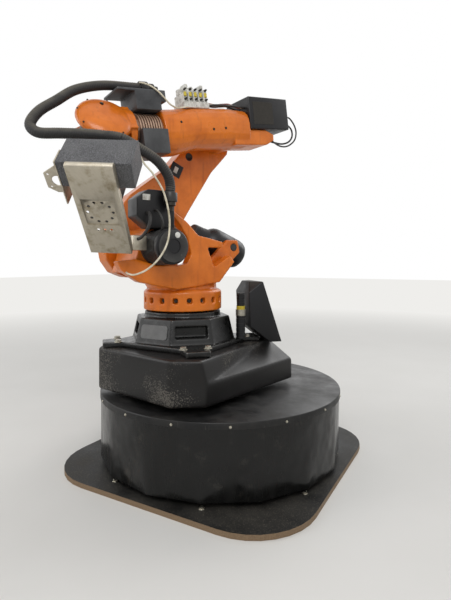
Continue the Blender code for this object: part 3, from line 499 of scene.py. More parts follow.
# Orange peel of 3 mm, soot and hand marks in clouds of 150 mm, and corners rubbed light
peel = add(tree, "TexNoise", {"Vector": place, "Scale": 320, "Detail": 2}).outputs[0]
marks = add(tree, "TexNoise", {"Vector": place, "Scale": 7, "Detail": 7, "Roughness": 0.65}).outputs[0]
mark_share = add(tree, "MapRange", {0: marks, 1: 0.42, 2: 0.66}).outputs[0]
grey_tone = add(tree, "Mix", {0: mark_share, 6: "#2B2C2E", 7: "#454648"}, data_type="RGBA").outputs[2]
edges = add(tree, "NewGeometry").outputs["Pointiness"]
corners = add(tree, "MapRange", {0: edges, 1: 0.54, 2: 0.62}).outputs[0]
corner_share = add(tree, "Math", {0: corners, 1: marks}, operation="MULTIPLY").outputs[0]
grey_rubbed = add(tree, "Mix", {0: corner_share, 6: grey_tone, 7: "#8D8D8B"}, data_type="RGBA").outputs[2]
grey_rough = add(tree, "MapRange", {0: marks, 1: 0.3, 2: 0.7, 3: 0.36, 4: 0.6}).outputs[0]
grey_bump = add(tree, "Bump", {"Height": peel, "Strength": 0.12, "Distance": 0.001}).outputs[0]
to_shader(tree, grey_rubbed, rough=grey_rough, relief=grey_bump)

SHARP_EDGE = math.radians(35)


def machined(name, node, material, width, steps):
    """A solid's form with its facets joined into faces and its edges broken by a small radius."""
    shape = bmesh.new()
    shape.from_mesh(frame["nodes"][node].data)
    bmesh.ops.remove_doubles(shape, verts=shape.verts, dist=0.00005)
    bmesh.ops.dissolve_limit(shape, angle_limit=math.radians(1), verts=shape.verts, edges=shape.edges)
    mesh = bpy.data.meshes.new(name)
    shape.to_mesh(mesh)
    shape.free()
    mesh.materials.append(material)
    made = stand(name, mesh, NODE_BODY[node], node)
    edge = made.modifiers.new("edge", "BEVEL")
    edge.width = width
    edge.segments = steps
    edge.angle_limit = SHARP_EDGE
    settle(made)
    made.data.shade_smooth()
    made.data.set_sharp_from_angle(angle=SHARP_EDGE)
    return made


dress("base_cover_panel", powder_grey)

# Terminal box: the moulded black housing on the base's rear corner, where the supply lead plugs in.
# Its faces have a fine spark-eroded grain, dulled by dust.
moulded_black = finish("grained_black_plastic", "#1B1B1D", 0.5)
tree = moulded_black.node_tree
place = add(tree, "TexCoord").outputs["Object"]
grain = add(tree, "TexNoise", {"Vector": place, "Scale": 700, "Detail": 2}).outputs[0]
dust = add(tree, "TexNoise", {"Vector": place, "Scale": 11, "Detail": 6, "Roughness": 0.6}).outputs[0]
upward = add(tree, "SeparateXYZ", {0: add(tree, "NewGeometry").outputs["Normal"]})
upper_face_share = add(tree, "Math", {0: dust, 1: upward.outputs[2]}, operation="MULTIPLY").outputs[0]
upper_face_map = add(tree, "MapRange", {0: upper_face_share, 1: 0.2, 2: 0.7, 4: 0.5}).outputs[0]
plastic_tone = add(tree, "Mix", {0: upper_face_map, 6: "#0F0F11", 7: "#6E6A62"}, data_type="RGBA").outputs[2]
plastic_rough = add(tree, "MapRange", {0: dust, 1: 0.3, 2: 0.7, 3: 0.35, 4: 0.6}).outputs[0]
plastic_bump = add(tree, "Bump", {"Height": grain, "Strength": 0.15, "Distance": 0.0005}).outputs[0]
shader = to_shader(tree, plastic_tone, rough=plastic_rough, relief=plastic_bump)
shader.inputs["Specular IOR Level"].default_value = 0.35
machined("terminal_box_housing", "terminal_box", moulded_black, 0.006, 3)

# Supply plug: the round black connector beside the terminal box, with one bare yellow band and a
# plated coupling nut. It stands on the base's foot.
yellow_band = finish("yellow_coding_band_plastic", "#D9C33A", 0.45)
tree = yellow_band.node_tree
place = add(tree, "TexCoord").outputs["Object"]
soil = add(tree, "TexNoise", {"Vector": place, "Scale": 60, "Detail": 5}).outputs[0]
band_tone = add(tree, "Mix", {0: soil, 6: "#B7A02F", 7: "#E6D24A"}, data_type="RGBA").outputs[2]
to_shader(tree, band_tone)

plug_low, plug_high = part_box("supply_plug")
plug_middle = (plug_low + plug_high) / 2
plug_size = (plug_high.x - plug_low.x) / 2
plug_long = plug_high.z - plug_low.z
KNURLS = 5
PLUG_GROOVE = 0.003


def plug_profile(low, high, wide):
    """A turned stretch of the plug, with grooves for the fingers."""
    points = [(wide * 0.94, low), (wide, low + PLUG_GROOVE)]
    for index in range(KNURLS):
        start = low + (high - low) * (index + 0.4) / KNURLS
        for share, step in ((1, 0), (0.93, 0.5), (0.93, 1.5), (1, 2)):
            points.append((wide * share, start + PLUG_GROOVE * step))
    return points + [(wide, high - PLUG_GROOVE), (wide * 0.94, high)]


plug_stretches = [
    ("supply_plug_body", 0.0, 0.5, 0.9, moulded_black),
    ("supply_plug_nut", 0.5, 0.64, 1.0, zinc),
    ("supply_plug_band", 0.64, 0.71, 0.86, yellow_band),
    ("supply_plug_gland", 0.71, 1.0, 0.78, moulded_black),
]
plug_row = Matrix.Translation((plug_middle.x, plug_middle.y, plug_low.z))
for piece_name, start_share, end_share, wide_share, material in plug_stretches:
    shape = bmesh.new()
    stretch = plug_profile(plug_long * start_share, plug_long * end_share, plug_size * wide_share)
    lathe(shape, stretch, "Z", 40)
    put(piece_name, shape, material, plug_row, "pedestal", "supply_plug")

# Rotating column: one big iron casting with a ring of bolt pockets, a bowl and the cheeks of the
# link arm and the balance cylinder. Gloss orange enamel on cast iron, sprayed over sanded filler.
orange_enamel = finish("gloss_orange_enamel_on_cast_iron", "#DC7420", 0.34)
tree = orange_enamel.node_tree
place = add(tree, "TexCoord").outputs["Object"]
# Cast waves of 60 mm and orange peel of 4 mm, greasy grime in clouds of 200 mm with streaks down
waves = add(tree, "TexNoise", {"Vector": place, "Scale": 16, "Detail": 2}).outputs[0]
fine_peel = add(tree, "TexNoise", {"Vector": place, "Scale": 240, "Detail": 2}).outputs[0]
clouds = add(tree, "TexNoise", {"Vector": place, "Scale": 5, "Detail": 7, "Roughness": 0.62}).outputs[0]
cloud_share = add(tree, "MapRange", {0: clouds, 1: 0.4, 2: 0.7}).outputs[0]
running = add(tree, "Mapping", {0: place, 3: (24, 24, 2.2)})
streaks = add(tree, "TexNoise", {"Vector": running.outputs[0], "Scale": 1.0, "Detail": 5}).outputs[0]
streak_share = add(tree, "MapRange", {0: streaks, 1: 0.56, 2: 0.78, 4: 0.55}).outputs[0]
edges = add(tree, "NewGeometry").outputs["Pointiness"]
# Painted shade: the hollows and inner corners are darkened to a deep red-brown
painted_hollow_shade = add(tree, "MapRange", {0: edges, 1: 0.5, 2: 0.42, 4: 0.75}).outputs[0]
ridge = add(tree, "MapRange", {0: edges, 1: 0.56, 2: 0.64}).outputs[0]
chip = add(tree, "TexNoise", {"Vector": place, "Scale": 75, "Detail": 5, "Roughness": 0.7}).outputs[0]
chip_edge = add(tree, "MapRange", {0: chip, 1: 0.52, 2: 0.56}).outputs[0]
chip_share = add(tree, "Math", {0: ridge, 1: chip_edge}, operation="MULTIPLY").outputs[0]
orange_tone = add(tree, "Mix", {0: cloud_share, 6: "#E2791C", 7: "#C8640F"}, data_type="RGBA").outputs[2]
orange_run = add(tree, "Mix", {0: streak_share, 6: orange_tone, 7: "#9E4B0E"}, data_type="RGBA").outputs[2]
orange_with_painted_shade = add(tree, "Mix", {0: painted_hollow_shade, 6: orange_run, 7: "#5E2C0C"}, data_type="RGBA").outputs[2]
orange_worn = add(tree, "Mix", {0: chip_share, 6: orange_with_painted_shade, 7: "#5B4A3C"}, data_type="RGBA").outputs[2]
orange_rough = add(tree, "MapRange", {0: clouds, 1: 0.3, 2: 0.7, 3: 0.24, 4: 0.46}).outputs[0]
wave_bump = add(tree, "Bump", {"Height": waves, "Strength": 0.22, "Distance": 0.006}).outputs[0]
peel_bump = add(
    tree, "Bump", {"Height": fine_peel, "Strength": 0.08, "Distance": 0.001, "Normal": wave_bump}
).outputs[0]
shader = to_shader(tree, orange_worn, rough=orange_rough, relief=peel_bump)
shader.inputs["Specular IOR Level"].default_value = 0.35
shader.inputs["Coat Weight"].default_value = 0.25
shader.inputs["Coat Roughness"].default_value = 0.12


def axes(origin, along, across):
    """A frame with X along one direction and Y across it."""
    along = Vector(along).normalized()
    upward = along.cross(Vector(across)).normalized()
    turned = Matrix((along, upward.cross(along), upward)).transposed()
    return Matrix.Translation(origin) @ turned.to_4x4()


# From here up each piece is modelled in the frame of the robot part that carries it, with X along
# the part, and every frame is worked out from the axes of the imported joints
robot_left = Vector(joints["a2_link_swing"]["axis"])
hinge_row = axes(robot_foot, robot_left.cross((0, 0, 1)), robot_left)
cast_form("column_casting", "rotating_column", orange_enamel, 0.0062, 7)

# Ring screws: the bolts that hold the column to its bearing, one in each cast pocket. They are of
# black-oxide steel, oily and nearly black.
black_oxide = finish("oiled_black_oxide_steel", "#23211F", 0.36, 0.7)
tree = black_oxide.node_tree
place = add(tree, "TexCoord").outputs["Object"]
oil = add(tree, "TexNoise", {"Vector": place, "Scale": 120, "Detail": 3}).outputs[0]
oxide_tone = add(tree, "Mix", {0: oil, 6: "#171614", 7: "#45413B"}, data_type="RGBA").outputs[2]
to_shader(tree, oxide_tone)

POCKETS = 18
POCKET_FLOOR = 0.277
POCKET_RISE = 1.29
POCKET_SCREW = 0.0145
shape = bmesh.new()
for index in range(POCKETS):
    angle = math.tau * (index + 0.5) / POCKETS
    outward = Vector((math.cos(angle), math.sin(angle), 0))
    bolt(shape, outward * POCKET_FLOOR + Vector((0, 0, POCKET_RISE)), outward, POCKET_SCREW)
put("ring_screws", shape, black_oxide, hinge_row, "column", slot="motor_black")

# Link arm motor: a servo motor on the link's axis, its aluminium housing cast with cooling ribs and
# painted satin black, with an end cap held by four screws
motor_black = finish("satin_black_on_cast_aluminium", "#161617", 0.4)
tree = motor_black.node_tree
place = add(tree, "TexCoord").outputs["Object"]
sand = add(tree, "TexNoise", {"Vector": place, "Scale": 280, "Detail": 3}).outputs[0]
oil = add(tree, "TexNoise", {"Vector": place, "Scale": 9, "Detail": 7, "Roughness": 0.65}).outputs[0]
edges = add(tree, "NewGeometry").outputs["Pointiness"]
rub = add(tree, "MapRange", {0: edges, 1: 0.54, 2: 0.62}).outputs[0]
rub_share = add(tree, "Math", {0: rub, 1: oil}, operation="MULTIPLY").outputs[0]
motor_tone = add(tree, "Mix", {0: oil, 6: "#0A0A0B", 7: "#1C1B1D"}, data_type="RGBA").outputs[2]
motor_worn = add(tree, "Mix", {0: rub_share, 6: motor_tone, 7: "#85837E"}, data_type="RGBA").outputs[2]
motor_rough = add(tree, "MapRange", {0: oil, 1: 0.3, 2: 0.7, 3: 0.26, 4: 0.5}).outputs[0]
motor_bump = add(tree, "Bump", {"Height": sand, "Strength": 0.18, "Distance": 0.001}).outputs[0]
shader = to_shader(tree, motor_worn, rough=motor_rough, relief=motor_bump)
shader.inputs["Specular IOR Level"].default_value = 0.35

MOTOR_CENTRE = (0.35, 1.685)
MOTOR_RADIUS = 0.125
MOTOR_NEAR = 0.2378
MOTOR_LONG = 0.26
RIBS = 10
RIB_DEEP = 0.009
motor_end = MOTOR_NEAR + MOTOR_LONG
rib_pitch = MOTOR_LONG * 0.72 / RIBS
motor_profile = [(MOTOR_RADIUS, MOTOR_NEAR)]
for index in range(RIBS):
    start = MOTOR_NEAR + MOTOR_LONG * 0.1 + rib_pitch * index
    motor_profile += [
        (MOTOR_RADIUS, start),
        (MOTOR_RADIUS - RIB_DEEP, start + rib_pitch * 0.1),
        (MOTOR_RADIUS - RIB_DEEP, start + rib_pitch * 0.5),
        (MOTOR_RADIUS, start + rib_pitch * 0.6),
    ]
motor_profile += [
    (MOTOR_RADIUS, motor_end - MOTOR_LONG * 0.1),
    (MOTOR_RADIUS * 0.97, motor_end - MOTOR_LONG * 0.07),
    (MOTOR_RADIUS * 0.9, motor_end - MOTOR_LONG * 0.06),
    (MOTOR_RADIUS * 0.9, motor_end - MOTOR_LONG * 0.02),
    (MOTOR_RADIUS * 0.86, motor_end),
    (MOTOR_RADIUS * 0.4, motor_end),
    (MOTOR_RADIUS * 0.38, motor_end - MOTOR_LONG * 0.02),
    (MOTOR_RADIUS * 0.1, motor_end - MOTOR_LONG * 0.02),
]
shape = bmesh.new()
lathe(shape, motor_profile, "Y", 72, MOTOR_CENTRE)
CAP_SCREWS = 4
CAP_SCREW_SIZE = 0.009
CAP_SCREW_SINK = 0.006
CAP_SCREW_REACH = MOTOR_RADIUS * 0.66
for index in range(CAP_SCREWS):
    angle = math.tau * (index + 0.5) / CAP_SCREWS
    spot_x = MOTOR_CENTRE[0] + CAP_SCREW_REACH * math.cos(angle)
    spot_z = MOTOR_CENTRE[1] + CAP_SCREW_REACH * math.sin(angle)
    bolt(shape, (spot_x, motor_end - CAP_SCREW_SINK, spot_z), (0, 1, 0), CAP_SCREW_SIZE)
put("link_motor", shape, motor_black, hinge_row, "column", "a2_motor")

# Motor plug block: the block that takes the motor's plugs, milled from aluminium and left bare. It is
# screwed to the motor.
bare_aluminium = finish("bare_machined_aluminium", "#B3AB9A", 0.4, 0.85)
tree = bare_aluminium.node_tree
place = add(tree, "TexCoord").outputs["Object"]
# Milling streaks 1 mm wide and 60 mm long, and brown spatter stains of 70 mm
milled = add(tree, "Mapping", {0: place, 2: (0.4, 0.3, 0.2), 3: (700, 16, 16)})
streaks = add(tree, "TexNoise", {"Vector": milled.outputs[0], "Scale": 1.0, "Detail": 3}).outputs[0]
stain = add(tree, "TexNoise", {"Vector": place, "Scale": 14, "Detail": 8, "Roughness": 0.66}).outputs[0]
stain_share = add(tree, "MapRange", {0: stain, 1: 0.5, 2: 0.76}).outputs[0]
metal_tone = add(tree, "Mix", {0: streaks, 6: "#A8A090", 7: "#CDC5B4"}, data_type="RGBA").outputs[2]
metal_stained = add(tree, "Mix", {0: stain_share, 6: metal_tone, 7: "#93866C"}, data_type="RGBA").outputs[2]
metal_rough = add(tree, "MapRange", {0: stain, 1: 0.35, 2: 0.7, 3: 0.32, 4: 0.6}).outputs[0]
metal_bump = add(tree, "Bump", {"Height": streaks, "Strength": 0.1, "Distance": 0.0005}).outputs[0]
to_shader(tree, metal_stained, rough=metal_rough, relief=metal_bump)
machined("motor_plug_block", "a2_plug_block", bare_aluminium, 0.004, 2)

# Junction housing: the black cast box above the motor, screwed to the column's cheek. It carries the
# lower hose clamp, and the motor's leads come out of it.
machined("junction_casting", "junction_housing", motor_black, 0.008, 3)

# Balance cylinder: the gas-sprung counterweight of the link arm, a turned and welded steel can in
# black enamel, hung on two trunnions between the column's prongs
piston_row = axes(joint_place("balancer_swing"), joints["balancer_stroke"]["axis"], robot_left)
CYLINDER_RADIUS = 0.125
CYLINDER_REAR = 0.20
CYLINDER_FRONT = 0.33
CAN_SHARES = [
    (0.22, -1.0), (0.35, -1.0), (0.56, -0.97), (0.74, -0.92), (0.88, -0.84), (0.96, -0.73),
    (1.0, -0.56), (1.0, -0.2), (0.985, -0.19), (0.985, -0.16), (1.0, -0.15), (1.0, 0.3),
    (0.985, 0.37), (0.93, 0.44), (0.84, 0.5), (0.72, 0.56), (0.66, 0.6), (0.64, 0.7),
    (0.62, 0.72), (0.6, 0.95), (0.56, 0.99), (0.5, 1.0), (0.26, 1.0), (0.225, 0.9),
]
shape = bmesh.new()
can_profile = []
for wide_share, long_share in CAN_SHARES:
    reach = CYLINDER_REAR if long_share < 0 else CYLINDER_FRONT
    can_profile.append((CYLINDER_RADIUS * wide_share, reach * long_share))
lathe(shape, can_profile, "X", 72, closed=True)
trunnion_box = frame["nodes"]["balancer_cylinder"].data
piston_back = piston_row.inverted()
trunnion_half = max(abs((piston_back @ vertex.co).y) for vertex in trunnion_box.vertices)
TRUNNION_RADIUS = 0.03
trunnion_chamfer = [(TRUNNION_RADIUS - 0.002, trunnion_half), (TRUNNION_RADIUS, trunnion_half - 0.003)]
trunnion = [(radius, -level) for radius, level in trunnion_chamfer] + trunnion_chamfer[::-1]
lathe(shape, trunnion, "Y", 32)
put("balance_can", shape, motor_black, piston_row, "balancer", "balancer_cylinder")
machined("balance_rod", "balancer_rod", bare_aluminium, 0.002, 2)

# Link arm: a curved plate casting on the far side of the column, with the lug of the balance
# cylinder's rod, in the same gloss orange enamel
link_up = joint_place("a3_arm_swing") - joint_place("a2_link_swing")
link_row = axes(joint_place("a2_link_swing"), robot_left.cross(link_up), robot_left)
cast_form("link_casting", "link_arm", orange_enamel, 0.006, 7)

# Hub cover: the domed cap over the link arm's lower bearing, cast and enamelled as the arm is. A ring
# of eight screws holds it.
COVER_RADIUS = 0.20
COVER_THICK = 0.05
COVER_NEAR = -0.3553
COVER_SCREWS = 8
COVER_SCREW_SIZE = 0.01
COVER_SCREW_REACH = COVER_RADIUS * 0.92
shape = bmesh.new()
COVER_SHARES = [
    (1, 0), (1, 0.42), (0.985, 0.5), (0.86, 0.56), (0.82, 0.6),
    (0.74, 0.9), (0.7, 0.97), (0.64, 1), (0.05, 1),
]
lathe(shape, [(COVER_RADIUS * wide, COVER_NEAR - COVER_THICK * deep) for wide, deep in COVER_SHARES], "Y", 72)
put("hub_cover_cap", shape, orange_enamel, link_row, "link", "link_hub_cover")
shape = bmesh.new()
for index in range(COVER_SCREWS):
    angle = math.tau * index / COVER_SCREWS
    spot_x = COVER_SCREW_REACH * math.cos(angle)
    spot_z = COVER_SCREW_REACH * math.sin(angle)
    bolt(shape, (spot_x, COVER_NEAR - COVER_THICK * 0.5, spot_z), (0, -1, 0), COVER_SCREW_SIZE)
put("hub_cover_screws", shape, black_oxide, link_row, "link", slot="motor_black")

# Arm: the long tapering iron casting from the round bearing at the elbow to the collar in front, with
# a low tail under the wrist motors
arm_row = axes(joint_place("a3_arm_swing"), joints["a4_wrist_roll"]["axis"], robot_left)
cast_form("arm_form", "arm_casting", orange_enamel, 0.006, 8)

# Arm collar: the round spacer between arm and wrist, turned with fine ribs. Its copper-brown
# coating is worn bright on the ribs and greasy between them.
worn_copper = finish("worn_copper_brown_coating_on_steel", "#7A5A48", 0.42, 0.35)
tree = worn_copper.node_tree
place = add(tree, "TexCoord").outputs["Object"]
grease = add(tree, "TexNoise", {"Vector": place, "Scale": 22, "Detail": 7, "Roughness": 0.65}).outputs[0]
grease_share = add(tree, "MapRange", {0: grease, 1: 0.42, 2: 0.62}).outputs[0]
edges = add(tree, "NewGeometry").outputs["Pointiness"]
crest = add(tree, "MapRange", {0: edges, 1: 0.51, 2: 0.56}).outputs[0]
copper_tone = add(tree, "Mix", {0: grease_share, 6: "#8B6C58", 7: "#4A3327"}, data_type="RGBA").outputs[2]
copper_worn = add(tree, "Mix", {0: crest, 6: copper_tone, 7: "#B79A84"}, data_type="RGBA").outputs[2]
copper_bump = add(tree, "Bump", {"Height": grease, "Strength": 0.2, "Distance": 0.001}).outputs[0]
to_shader(tree, copper_worn, relief=copper_bump)

COLLAR_REAR = 0.6603
COLLAR_FRONT = 0.87
COLLAR_RADIUS = 0.125
COLLAR_RIB = 0.012
COLLAR_RIBS = 9
rib_pitch = (COLLAR_FRONT - COLLAR_REAR) / (COLLAR_RIBS + 1)
collar_profile = [(COLLAR_RADIUS, COLLAR_REAR)]
for index in range(COLLAR_RIBS):
    start = COLLAR_REAR + rib_pitch * (index + 0.5)
    collar_profile += [
        (COLLAR_RADIUS, start),
        (COLLAR_RADIUS + COLLAR_RIB * 0.9, start + rib_pitch * 0.08),
        (COLLAR_RADIUS + COLLAR_RIB, start + rib_pitch * 0.2),
        (COLLAR_RADIUS + COLLAR_RIB, start + rib_pitch * 0.48),
        (COLLAR_RADIUS + COLLAR_RIB * 0.9, start + rib_pitch * 0.6),
        (COLLAR_RADIUS, start + rib_pitch * 0.68),
    ]
collar_profile.append((COLLAR_RADIUS, COLLAR_FRONT))
shape = bmesh.new()
lathe(shape, collar_profile, "X", 96)
put("collar_ribs", shape, worn_copper, arm_row, "arm", "arm_collar")

# Collar trough and bracket: folded and welded sheet steel round the collar, in dark grey powder
# coat. The bracket carries the upper hose clamp.
machined("trough_sheet", "collar_trough", powder_grey, 0.006, 3)
machined("bracket_sheet", "collar_bracket", powder_grey, 0.005, 3)

# Wrist motors: the three servo motors behind the elbow, side by side in one block of cast aluminium
# in satin black, bolted to the arm's tail
machined("wrist_motors", "wrist_motor_block", motor_black, 0.006, 2)

# Motor cap: the round finned end of the middle wrist motor, a black aluminium casting. Four bolts
# beside it hold the block.
CAP_RADIUS = 0.105
CAP_FINS = 6
CAP_FIN_START = 0.012
CAP_FIN_PITCH = 0.011
CAP_CENTRE = (0, 0.157)
BLOCK_REAR = -0.5987
BLOCK_BOLT_SIZE = 0.011
shape = bmesh.new()
cap_profile = [(CAP_RADIUS * 0.3, BLOCK_REAR), (CAP_RADIUS * 0.85, BLOCK_REAR)]
for index in range(CAP_FINS):
    start = BLOCK_REAR + CAP_FIN_START + CAP_FIN_PITCH * index
    for share, step in ((1, 0), (1, 0.005), (0.93, 0.006), (0.93, 0.01)):
        cap_profile.append((CAP_RADIUS * share, start + step))
lathe(shape, cap_profile, "X", 64, CAP_CENTRE)
for side_y in (-0.14, 0.14):
    for level in (0.045, 0.27):
        bolt(shape, (BLOCK_REAR, side_y, level), (-1, 0, 0), BLOCK_BOLT_SIZE)
put("wrist_motor_cap", shape, motor_black, arm_row, "arm", slot="motor_black")

# Wrist housing: a forked iron casting that rolls on the collar, with a round gear dome on each arm
# of the fork, in the arm's orange enamel
wrist_centre = joint_place("a5_hand_bend")
wrist_left = Vector(joints["a5_hand_bend"]["axis"])
wrist_row = axes(wrist_centre, joints["a4_wrist_roll"]["axis"], wrist_left)
DOME_RADIUS = 0.20
DOME_NEAR = 0.095
DOME_FAR = 0.17
FORK_REAR = -0.2297
FORK_FACE = -0.162
DOME_SHARES = [
    (1, 0), (1, 0.18), (0.985, 0.34), (0.95, 0.5), (0.88, 0.66),
    (0.78, 0.79), (0.65, 0.89), (0.48, 0.96), (0.25, 0.995), (0.03, 1),
]
shape = bmesh.new()
FORK_RADIUS = 0.1625
fork_neck = [(0.125, FORK_REAR), (FORK_RADIUS, FORK_REAR + 0.02), (FORK_RADIUS, FORK_FACE), (0.12, FORK_FACE)]
lathe(shape, fork_neck, "X", 64)
for side in (-1, 1):
    dome_high = DOME_FAR - DOME_NEAR
    dome = [(DOME_RADIUS * wide, side * (DOME_NEAR + dome_high * deep)) for wide, deep in DOME_SHARES]
    lathe(shape, dome, "Y", 64)
    near, far = sorted((side * DOME_NEAR, side * (DOME_NEAR + 0.045)))
    corners = [(x, y, z) for x in (FORK_REAR + 0.018, 0.0) for y in (near, far) for z in (-0.115, 0.115)]
    bmesh.ops.convex_hull(shape, input=[shape.verts.new(corner) for corner in corners])
housing = put("wrist_casting", shape, orange_enamel, wrist_row, "wrist", "wrist_housing")
soften(housing, orange_enamel, 0.0045, 6)
DOME_PLUG_SIZE = 0.019
DOME_PLUG_SPOT = (0.0095, 0.095)
DOME_SCREWS = 8
DOME_SCREW_SIZE = 0.0075
DOME_SCREW_RISE = 0.0405
DOME_SCREW_REACH = DOME_RADIUS * 0.94
shape = bmesh.new()
for side in (-1, 1):
    plug_sink, plug_rise = DOME_PLUG_SPOT
    bolt(shape, (0.0, side * (DOME_FAR - plug_sink), plug_rise), (0, side, 0.35), DOME_PLUG_SIZE)
    for index in range(DOME_SCREWS):
        angle = math.tau * (index + 0.5) / DOME_SCREWS
        spot_x = DOME_SCREW_REACH * math.cos(angle)
        spot_z = DOME_SCREW_REACH * math.sin(angle)
        bolt(shape, (spot_x, side * (DOME_NEAR + DOME_SCREW_RISE), spot_z), (0, side, 0), DOME_SCREW_SIZE)
put("dome_screws", shape, black_oxide, wrist_row, "wrist", slot="motor_black")

# Hand: the cast drum that bends between the fork's arms, with the neck that carries the flange. It is
# painted satin black as the motors are.
cast_form("hand_casting", "wrist_hand", motor_black, 0.0042, 5)

# Mounting flange: the turned disc at the end of the hand, which carries the tool, in the same bare
# metal as the tool's plates
machined("flange_disc", "mounting_flange", bare_aluminium, 0.002, 2)

# Tool adapter: the offset arm from the flange to the channel, welded from steel plate and finished in
# dark grey powder coat
machined("adapter_weldment", "tool_adapter", powder_grey, 0.006, 3)

# Tool channel: the long folded aluminium plate of the tool. It has a rolled lip at the head, a
# shallow square pocket with a ring of ten holes, and three holes below it.
FLANGE_REST = -67.3
hand_row = axes(wrist_centre, joints["a6_flange_turn"]["axis"], wrist_left)
tool_row = hand_row @ Matrix.Rotation(math.radians(FLANGE_REST), 4, "X")
CHANNEL_BACK = 0.83
CHANNEL_FACE = 0.88
CHANNEL_EDGES = (0.0725, 0.3375)
CHANNEL_HEAD = 0.33
LIP_RADIUS = 0.024
POCKET_HALF = 0.098
POCKET_SINK = 0.004
POCKET_MIDDLE = (0.205, 0.015)
RING_REACH = 0.075
RING_HOLES = 10
HOLE_RADIUS = 0.0095
HOLE_PITCH = 0.04


def cut_out(made, cutter_mesh):
    """Cuts the form of a mesh out of a piece."""
    cutter = bpy.data.objects.new(cutter_mesh.name, cutter_mesh)
    bpy.context.scene.collection.objects.link(cutter)
    cut = made.modifiers.new("cut", "BOOLEAN")
    cut.operation = "DIFFERENCE"
    cut.object = cutter
    settle(made)
    bpy.data.objects.remove(cutter)


channel = machined("channel_plate", "tool_channel", bare_aluminium, 0.003, 2)
cutter_shape = bmesh.new()
pocket_corners = []
for across, along in ((-1, -1), (1, -1), (1, 1), (-1, 1)):
    pocket_corners.append((POCKET_MIDDLE[0] + across * POCKET_HALF, POCKET_MIDDLE[1] + along * POCKET_HALF))
pocket_levels = (CHANNEL_FACE - POCKET_SINK, CHANNEL_FACE + 0.02)
pocket_rings = [[(level, y, z) for y, z in pocket_corners] for level in pocket_levels]
skin(cutter_shape, pocket_rings)
hole_centres = []
for index in range(RING_HOLES):
    angle = math.tau * index / RING_HOLES
    across, along = RING_REACH * math.cos(angle), RING_REACH * math.sin(angle)
    hole_centres.append((POCKET_MIDDLE[0] + across, POCKET_MIDDLE[1] + along))
for step in (-1, 0, 1):
    hole_centres.append((POCKET_MIDDLE[0] + step * HOLE_PITCH, POCKET_MIDDLE[1] - POCKET_HALF - HOLE_PITCH))
pocket_mesh = close_mesh("pocket_cutter", cutter_shape, bare_aluminium, tool_row)
hole_shape = bmesh.new()
hole_ends = [(HOLE_RADIUS, CHANNEL_BACK - 0.02), (HOLE_RADIUS, CHANNEL_FACE + 0.02)]
for centre in hole_centres:
    lathe(hole_shape, hole_ends, "X", 24, centre)
hole_mesh = close_mesh("hole_cutter", hole_shape, bare_aluminium, tool_row)
cut_out(channel, pocket_mesh)
cut_out(channel, hole_mesh)
channel.data.set_sharp_from_angle(angle=SHARP_EDGE)
shape = bmesh.new()
lip_middle = (CHANNEL_FACE - LIP_RADIUS, CHANNEL_HEAD - LIP_RADIUS * 0.3)
lip_start, lip_end = CHANNEL_EDGES
lip_ends = [
    (LIP_RADIUS * 0.9, lip_start), (LIP_RADIUS, lip_start + 0.003),
    (LIP_RADIUS, lip_end - 0.003), (LIP_RADIUS * 0.9, lip_end),
]
lathe(shape, lip_ends, "Y", 40, lip_middle)
put("channel_lip", shape, bare_aluminium, tool_row, "tool", slot="bare_aluminium")

# Tool box: the folded sheet-steel housing above the channel, in a coarse dark textured coat that is
# dusty in patches
textured_coat = finish("coarse_textured_dark_grey_coat", "#3E3E40", 0.62)
tree = textured_coat.node_tree
place = add(tree, "TexCoord").outputs["Object"]
# Crackle of 5 mm in the relief, with pale specks of 4 mm as painted highlights on the grain, under
# dust in patches of 120 mm
crackle = add(tree, "TexVoronoi", {"Vector": place, "Scale": 210})
speck = add(tree, "TexNoise", {"Vector": place, "Scale": 260, "Detail": 3}).outputs[0]
painted_glint_share = add(tree, "MapRange", {0: speck, 1: 0.48, 2: 0.62}).outputs[0]
patch = add(tree, "TexNoise", {"Vector": place, "Scale": 8, "Detail": 5}).outputs[0]
coat_with_painted_glints = add(tree, "Mix", {0: painted_glint_share, 6: "#303032", 7: "#77777A"}, data_type="RGBA").outputs[2]
patch_share = add(tree, "MapRange", {0: patch, 1: 0.4, 2: 0.75, 4: 0.5}).outputs[0]
coat_tone = add(tree, "Mix", {0: patch_share, 6: coat_with_painted_glints, 7: "#6A6A6B"}, data_type="RGBA").outputs[2]
coat_bump = add(tree, "Bump", {"Height": crackle.outputs[0], "Strength": 0.6, "Distance": 0.002}).outputs[0]
to_shader(tree, coat_tone, relief=coat_bump)
machined("tool_box_case", "tool_box", textured_coat, 0.006, 3)

# Side plate: the web of the thin plate beside the channel, folded from aluminium sheet and left bare.
# Its flange is the ear that follows.
machined("side_plate_web", "tool_side_plate", bare_aluminium, 0.0015, 2)

# Side plate ear: the flange of the side plate that shows at the tool's left, with a large round hole
# and three small ones cut through it. It is of the channel's bare aluminium.
EAR_THICK = (0.722, 0.73)
EAR_REACH = -0.135
EAR_SPAN = (0.035, 0.235)
EAR_HOLE = (-0.062, 0.12)
EAR_HOLE_RADIUS = 0.036
EAR_SMALL_RADIUS = 0.007
EAR_EDGE = 0.0012
ear_low, ear_high = EAR_SPAN
ear_outline = [
    (0.002, ear_low), (0.002, ear_high), (EAR_REACH * 0.35, ear_high),
    (EAR_REACH, ear_high - 0.06), (EAR_REACH, ear_low + 0.035), (EAR_REACH * 0.6, ear_low),
]
shape = bmesh.new()
skin(shape, [[(level, y, z) for y, z in ear_outline] for level in EAR_THICK])
ear_mesh = close_mesh("side_plate_ear", shape, bare_aluminium, tool_row)
ear = stand("side_plate_ear", ear_mesh, "tool", slot="bare_aluminium")
hole_shape = bmesh.new()
